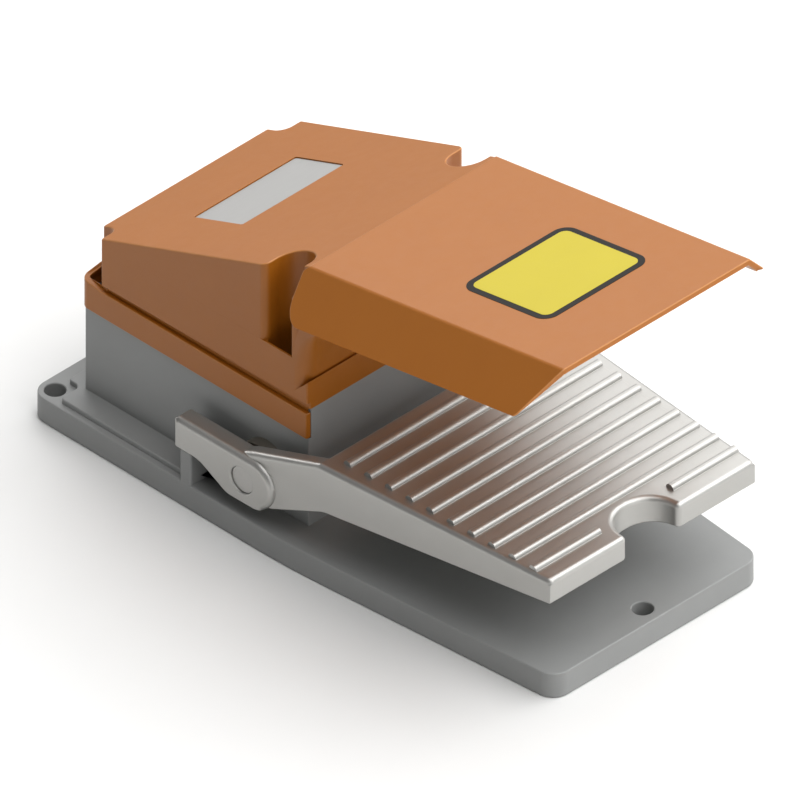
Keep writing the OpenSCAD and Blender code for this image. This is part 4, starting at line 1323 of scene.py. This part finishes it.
@dataclass
class TreadPedal:
    """The ribbed aluminium tread with its notch, its side rails that run on as arms, and the ears."""

    top: float = 49.0
    front: float = -117.7
    rear: float = -14.8
    front_half: float = 48.6
    rear_half: float = 57.5
    front_depth: float = 9.6
    rear_depth: float = 18.7
    rail: float = 5.8
    skin: float = 4.5
    hollow_round: float = 2.0
    hollow_edge: float = 0.5
    edge: float = 2.1
    low_edge: float = 0.8
    side_edge: float = 0.35
    notch: Triple = (12.0, 13.1, 11.2)  # half width, depth, radius
    rib_radius: float = 1.8
    rib_height: float = 1.65
    rib_fillet: float = 0.15
    rib_first: float = -23.0
    rib_pitch: float = 9.52
    rib_count: int = 10
    rib_side: float = 6.3
    rib_spread: float = 0.087  # share of rib_side that each rib gains on the last
    rib_gap: float = 5.0
    ear: Pair = (51.6, 59.2)  # inner and outer face
    ear_edges: Triple = (2.3, 0.4, 0.6)  # at the nose, elsewhere, inner face
    ear_soft: Pair = (-0.94, 0.33)  # where its full fillet faces
    pivot: Pair = (18.75, 25.3)  # y and z
    bore: Pair = (5.15, 0.5)  # radius, fillet
    toe_round: float = 0.9
    heel: Pair = (-17.8, 10.0)  # y and radius of the bend under the tread's rear
    arm_bend: Pair = (-15.8, 2.2)  # y and radius of the bend on top
    # y and z from the pivot and radius of each corner, on the arm behind its bends and on the ear
    arm_corners: tuple[Corner, ...] = ((-12.0, -6.5, 4.0), (6.0, -6.0, 3.0), (8.0, 7.0, 3.0),
                                       (-2.0, 11.8, 4.0))
    ear_corners: tuple[Corner, ...] = ((31.6, 9.9, 0.7), (-14.3, 10.1, 9.4), (-14.3, -8.9, 9.4),
                                       (7.2, -9.0, 8.0), (20.4, -2.0, 14.0), (31.6, -2.0, 0.7))

    def flare(self) -> float:
        """How fast the tread widens towards the rear."""
        return (self.rear_half - self.front_half) / (self.rear - self.front)

    def side(self, y: Array) -> Array:
        """Distance of the rails' outer faces from the middle plane."""
        return self.front_half + (np.minimum(y, self.rear) - self.front) * self.flare()

    def underside(self, plan: Array) -> Array:
        """Height of the tread's lower edge, rising towards the front."""
        share = (plan[:, 1] - self.front) / (self.rear - self.front)
        return self.top - self.front_depth - (self.rear_depth - self.front_depth) * share

    def tread(self) -> Shell:
        """The tread between the rails, with a fillet round its top and a notch in its front edge.

        Returns:
            The closed tread, hollow below.
        """
        half, depth, radius = self.notch
        inset, wall, front = self.rail / 2, self.rail + SINK, self.front + CLEAR
        outline = rounded(mirrored([
            (half, self.front + depth, radius), (half, front, self.edge),
            (self.front_half - inset, front, self.edge),
            (self.rear_half - inset, self.rear, self.edge)]), step_deg=5.0)
        hollow = rounded(mirrored([
            (self.front_half - wall, self.front + depth + self.skin, self.hollow_round),
            (self.rear_half - wall, self.rear - self.skin, self.hollow_round)]))
        pocket = Hole(hollow, self.top - self.skin, from_top=False, edge=self.hollow_edge)
        return Slab(outline, lambda plan: self.underside(plan) + CLEAR, self.top - CLEAR, self.edge,
                    self.low_edge, [pocket], steps=7).shell()

    def from_pivot(self, corners: Sequence[Corner]) -> list[Corner]:
        """Corners given from the pivot, moved to their places."""
        y, z = self.pivot
        return [(y + along, z + up, radius) for along, up, radius in corners]

    def rails(self) -> list[Shell]:
        """The tread's sides: each runs on past a bend as the arm that falls to the ear.

        Returns:
            Both rails.
        """
        bend, bend_round = self.arm_bend
        heel, heel_round = self.heel
        outline = rounded([
            (self.front, self.top - self.front_depth, self.toe_round),
            (heel, self.top - self.rear_depth, heel_round), *self.from_pivot(self.arm_corners),
            (bend, self.top, bend_round), (self.front, self.top, bend_round)], step_deg=5.0)
        return on_both_sides([Slab(
            outline, lambda plan: self.side(plan[:, 0]) - self.rail, lambda plan: self.side(plan[:, 0]),
            softer((0.0, 1.0), self.edge, self.side_edge), self.low_edge,
            slope=(-self.flare() / 2, 0.0), axis=Axis.X, steps=7)])

    def ribs(self) -> list[Shell]:
        """Round ribs across the tread, broken by the notch at the front.

        Returns:
            A band and two flat ends for each length of rib.
        """
        shells = []
        profile, normal = self.rib_profile()
        gap = self.notch[0] + self.rib_gap
        for index in range(self.rib_count):
            y = self.rib_first - index * self.rib_pitch
            edge = float(self.side(np.array(y))) - self.rib_side * (1 - self.rib_spread * index)
            line = profile + np.array([0.0, y, self.top - CLEAR])
            broken = y < self.front + self.notch[1] + self.rib_radius
            for span in ([(-edge, -gap), (gap, edge)] if broken else [(-edge, edge)]):
                rows = np.stack([line + np.array([x, 0, 0]) for x in span])
                out = np.array([1.0, 0.0, 0.0])
                shells += [band(rows, np.stack([normal, normal]), np.zeros(2)), *ends(rows, -out, out)]
        return shells

    def rib_profile(self) -> tuple[Array, Array]:
        """A rib's section from rear to front: a round top that runs into the tread by small fillets.

        Each fillet's circle touches the tread and the round, so its centre lies one fillet above the
        tread and the two radii together from the round's centre.

        Returns:
            Points and normals.
        """
        radius, fillet = self.rib_radius, self.rib_fillet
        sink = radius - self.rib_height
        reach = math.sqrt((radius + fillet) ** 2 - (fillet + sink) ** 2)
        meet = math.atan2(reach, fillet + sink)
        foot_points, top_points = 6, 17
        points, normals = [], []
        for start, end, count, y, z, size in ((0, meet, foot_points, reach, fillet, -fillet),
                                              (meet, -meet, top_points, 0.0, -sink, radius),
                                              (-meet, 0, foot_points, -reach, fillet, -fillet)):
            lean = np.linspace(start, end, count)
            normal = np.stack([np.zeros(count), np.sin(lean), np.cos(lean)], axis=1)
            points.append(np.array([0.0, y, z]) + normal * size)
            normals.append(normal)
        return np.concatenate(points), np.concatenate(normals)

    def ears(self) -> list[Shell]:
        """Ears at the arms' ends, round at the nose and straight at the tail.

        Returns:
            Both ears.
        """
        outline = rounded(self.from_pivot(self.ear_corners), step_deg=5.0)
        radius, mouth = self.bore
        bore = Hole(circle(*self.pivot, radius, count=64), edge=mouth)
        full, least, inner = self.ear_edges
        return on_both_sides([Slab(outline, *self.ear, softer(self.ear_soft, full, least), inner, [bore],
                                   axis=Axis.X, steps=6)])

    def dress(self) -> None:
        """Builds the pedal in place of its node."""
        shells = [self.tread()] + self.ribs() + self.rails() + self.ears()
        piece = make_object("ribbed_pedal", shells, SATIN.material())
        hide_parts("pedal")
        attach(piece, Body.PEDAL.value)


@dataclass
class TorsionSpring:
    """The return spring: a coil round the shaft with a leg on the lever and a leg on the floor."""

    pivot: Pair = (18.75, 25.3)  # y and z
    wire: float = 1.1
    radius: float = 8.5
    turns: float = 5.25
    pitch: float = 2.6
    start: float = -11.0
    leg: float = 15.0
    floor_z: float = 6.2
    sides: int = 12
    stations: int = 127
    leg_room: float = 1.1  # in wire radii

    def path(self) -> Array:
        """The wire's middle line: the lever's leg, a helix about the shaft and the leg down to the floor.

        Returns:
            Points along the line.
        """
        turn = np.linspace(0, self.turns, self.stations)
        angle = QUARTER + 2 * math.pi * turn
        coil = np.column_stack([self.start - self.pitch * turn, self.radius * rays(angle)])
        lever = [self.start, self.leg, self.radius]
        floor = [coil[-1, 0], coil[-1, 1], self.floor_z - self.pivot[1]]
        return np.concatenate([[lever], coil, [floor]]) + np.array([0.0, *self.pivot])

    def shells(self) -> list[Shell]:
        """The wire: a circle square to its path at each of its points, and a flat face at each end.

        Returns:
            The wire's skin and its two ends.
        """
        line = self.path()
        along = unit(np.concatenate([line[1:], line[-1:]]) - np.concatenate([line[:1], line[:-1]]))
        across = unit(np.array([1.0, 0.0, 0.0]) - along * along[:, :1])
        up = np.cross(along, across)
        angle = np.linspace(0, 2 * math.pi, self.sides, endpoint=False)[None, :, None]
        radial = across[:, None] * np.cos(angle) + up[:, None] * np.sin(angle)
        rows = line[:, None] + self.wire * radial
        return [band(rows, radial, np.zeros(len(line))), *ends(rows, -along[0], along[-1])]

    def dress(self) -> None:
        """Builds the spring in place of its node, between the housing and the pedal's lever."""
        piece = make_object("return_coil", self.shells(), STEEL.material())
        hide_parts("return_spring")
        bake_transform(piece)


@dataclass
class Fittings:
    """Nodes that keep their own shape and get a finish."""

    nodes: dict[str, bpy.types.Object]
    finishes: tuple[tuple[Finish | BrushedFinish, tuple[str, ...]], ...] = (
        (STEEL, ("cover_screws", "ear_set_screws", "cam_lever", "lever_set_screw", "switch_bracket",
                 "bracket_screws", "switch_screws", "switch_nuts", "earth_screw")),
        (SHAFT_STEEL, ("pedal_shaft",)),
        (BRASS, ("switch_terminals", "terminal_screws", "earth_washer")),
        (BRONZE, ("left_bush", "right_bush")),
        (RUBBER, ("cover_gasket", "shaft_seals", "gland_seal")),
        (POLYAMIDE, ("gland_body", "gland_nut", "gland_locknut")),
        (PHENOLIC, ("switch_body",)),
        (RED, ("switch_plunger",)))

    def dress(self) -> None:
        """Gives each node its material."""
        for finish, names in self.finishes:
            material = finish.material()
            for name in names:
                slots = self.nodes[name].data.materials
                slots.clear()
                slots.append(material)
            LOG.info("%s on %s", material.name, ", ".join(names))


@dataclass
class Studio:
    """Pale floor, soft light and a camera with a parallel view.

    Attributes:
        azimuth: the camera's turn about Z, in degrees.
        elevation: its height above the level, in degrees.
        pixels_per_mm: scale of the image.
        origin_pixel: where the origin falls in the image.
        image: width and height of the image in pixels.
        distance: the camera's distance in millimetres.
        floor_reach: half the floor's width, in metres.
        floor_z: height of the floor, in metres.
        sky: strength of the even light from all round.
        lamps: name, place, height aimed at, size and power of each light, in metres and watts.
    """

    azimuth: float = -44.9
    elevation: float = 36.47
    pixels_per_mm: float = 2.978
    origin_pixel: Pair = (405.5, 490.7)
    image: float = 800.0
    distance: float = 900.0
    floor_reach: float = 4.0
    floor_z: float = -0.0002
    sky: float = 0.2
    lamps: tuple[tuple[str, Triple, float, float, float], ...] = (
        ("key", (0.45, -0.5, 1.55), 0.03, 2.6, 51.0),
        ("rim", (0.9, 1.0, 0.9), 0.05, 1.15, 8.3),
        ("strip", (-0.1, 1.3, 0.55), 0.05, 0.3, 2.2),
        ("fill", (0.05, -1.4, 0.42), 0.05, 1.7, 9.0),
        ("side", (1.4, -0.35, 0.75), 0.05, 1.5, 12.0))

    def camera(self) -> None:
        """Sets the camera so that the origin falls on its pixel of the image."""
        a, e = math.radians(self.azimuth), math.radians(self.elevation)
        right = Vector((math.cos(a), math.sin(a), 0))
        up = Vector((-math.sin(e) * math.sin(a), math.sin(e) * math.cos(a), math.cos(e)))
        back = Vector((math.sin(a) * math.cos(e), -math.cos(a) * math.cos(e), math.sin(e)))
        shift_u = (self.image / 2 - self.origin_pixel[0]) / self.pixels_per_mm
        shift_v = (self.origin_pixel[1] - self.image / 2) / self.pixels_per_mm
        target = right * shift_u + up * shift_v
        data = bpy.data.cameras.new("camera")
        data.type = "ORTHO"
        data.ortho_scale = self.image / self.pixels_per_mm * MM
        eye = placed("camera", data)
        turn = Matrix((right, up, back)).transposed().to_4x4()
        eye.matrix_world = Matrix.Translation((target + back * self.distance) * MM) @ turn
        bpy.context.scene.camera = eye

    def floor(self) -> None:
        """A wide pale floor just under the base."""
        mesh = bpy.data.meshes.new("floor")
        corners = ((-1, -1), (1, -1), (1, 1), (-1, 1))
        mesh.from_pydata([(x * self.floor_reach, y * self.floor_reach, self.floor_z) for x, y in corners],
                         [], [(0, 1, 2, 3)])
        mesh.materials.append(PAPER.material())
        floor = placed("floor", mesh)

    def lights(self) -> None:
        """Sky and five square soft lights: a wide key above, two behind, one aside, a low fill in front."""
        world = bpy.data.worlds.new("sky")
        world.use_nodes = True
        ground = world.node_tree.nodes["Background"]
        ground.inputs["Color"].default_value = (1.0, 1.0, 1.0, 1.0)
        ground.inputs["Strength"].default_value = self.sky
        bpy.context.scene.world = world
        for name, place, aim_z, size, power in self.lamps:
            data = bpy.data.lights.new(name, "AREA")
            data.size = size
            data.energy = power
            away = Vector(place) - Vector((0, 0, aim_z))
            turn = away.to_track_quat("Z", "Y").to_matrix().to_4x4()
            placed(name, data).matrix_world = Matrix.Translation(place) @ turn

    def build(self) -> None:
        """Makes the whole setting."""
        bpy.context.scene.view_settings.view_transform = "Standard"
        self.camera()
        self.floor()
        self.lights()


def main() -> None:
    """Builds the pieces around the frame."""
    logging.basicConfig(level=logging.INFO, format="%(message)s")
    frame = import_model()
    Studio().build()
    CastBase().dress()
    GuardedCover().dress()
    TreadPedal().dress()
    TorsionSpring().dress()
    Fittings(frame["nodes"]).dress()


if __name__ == "__main__":
    main()
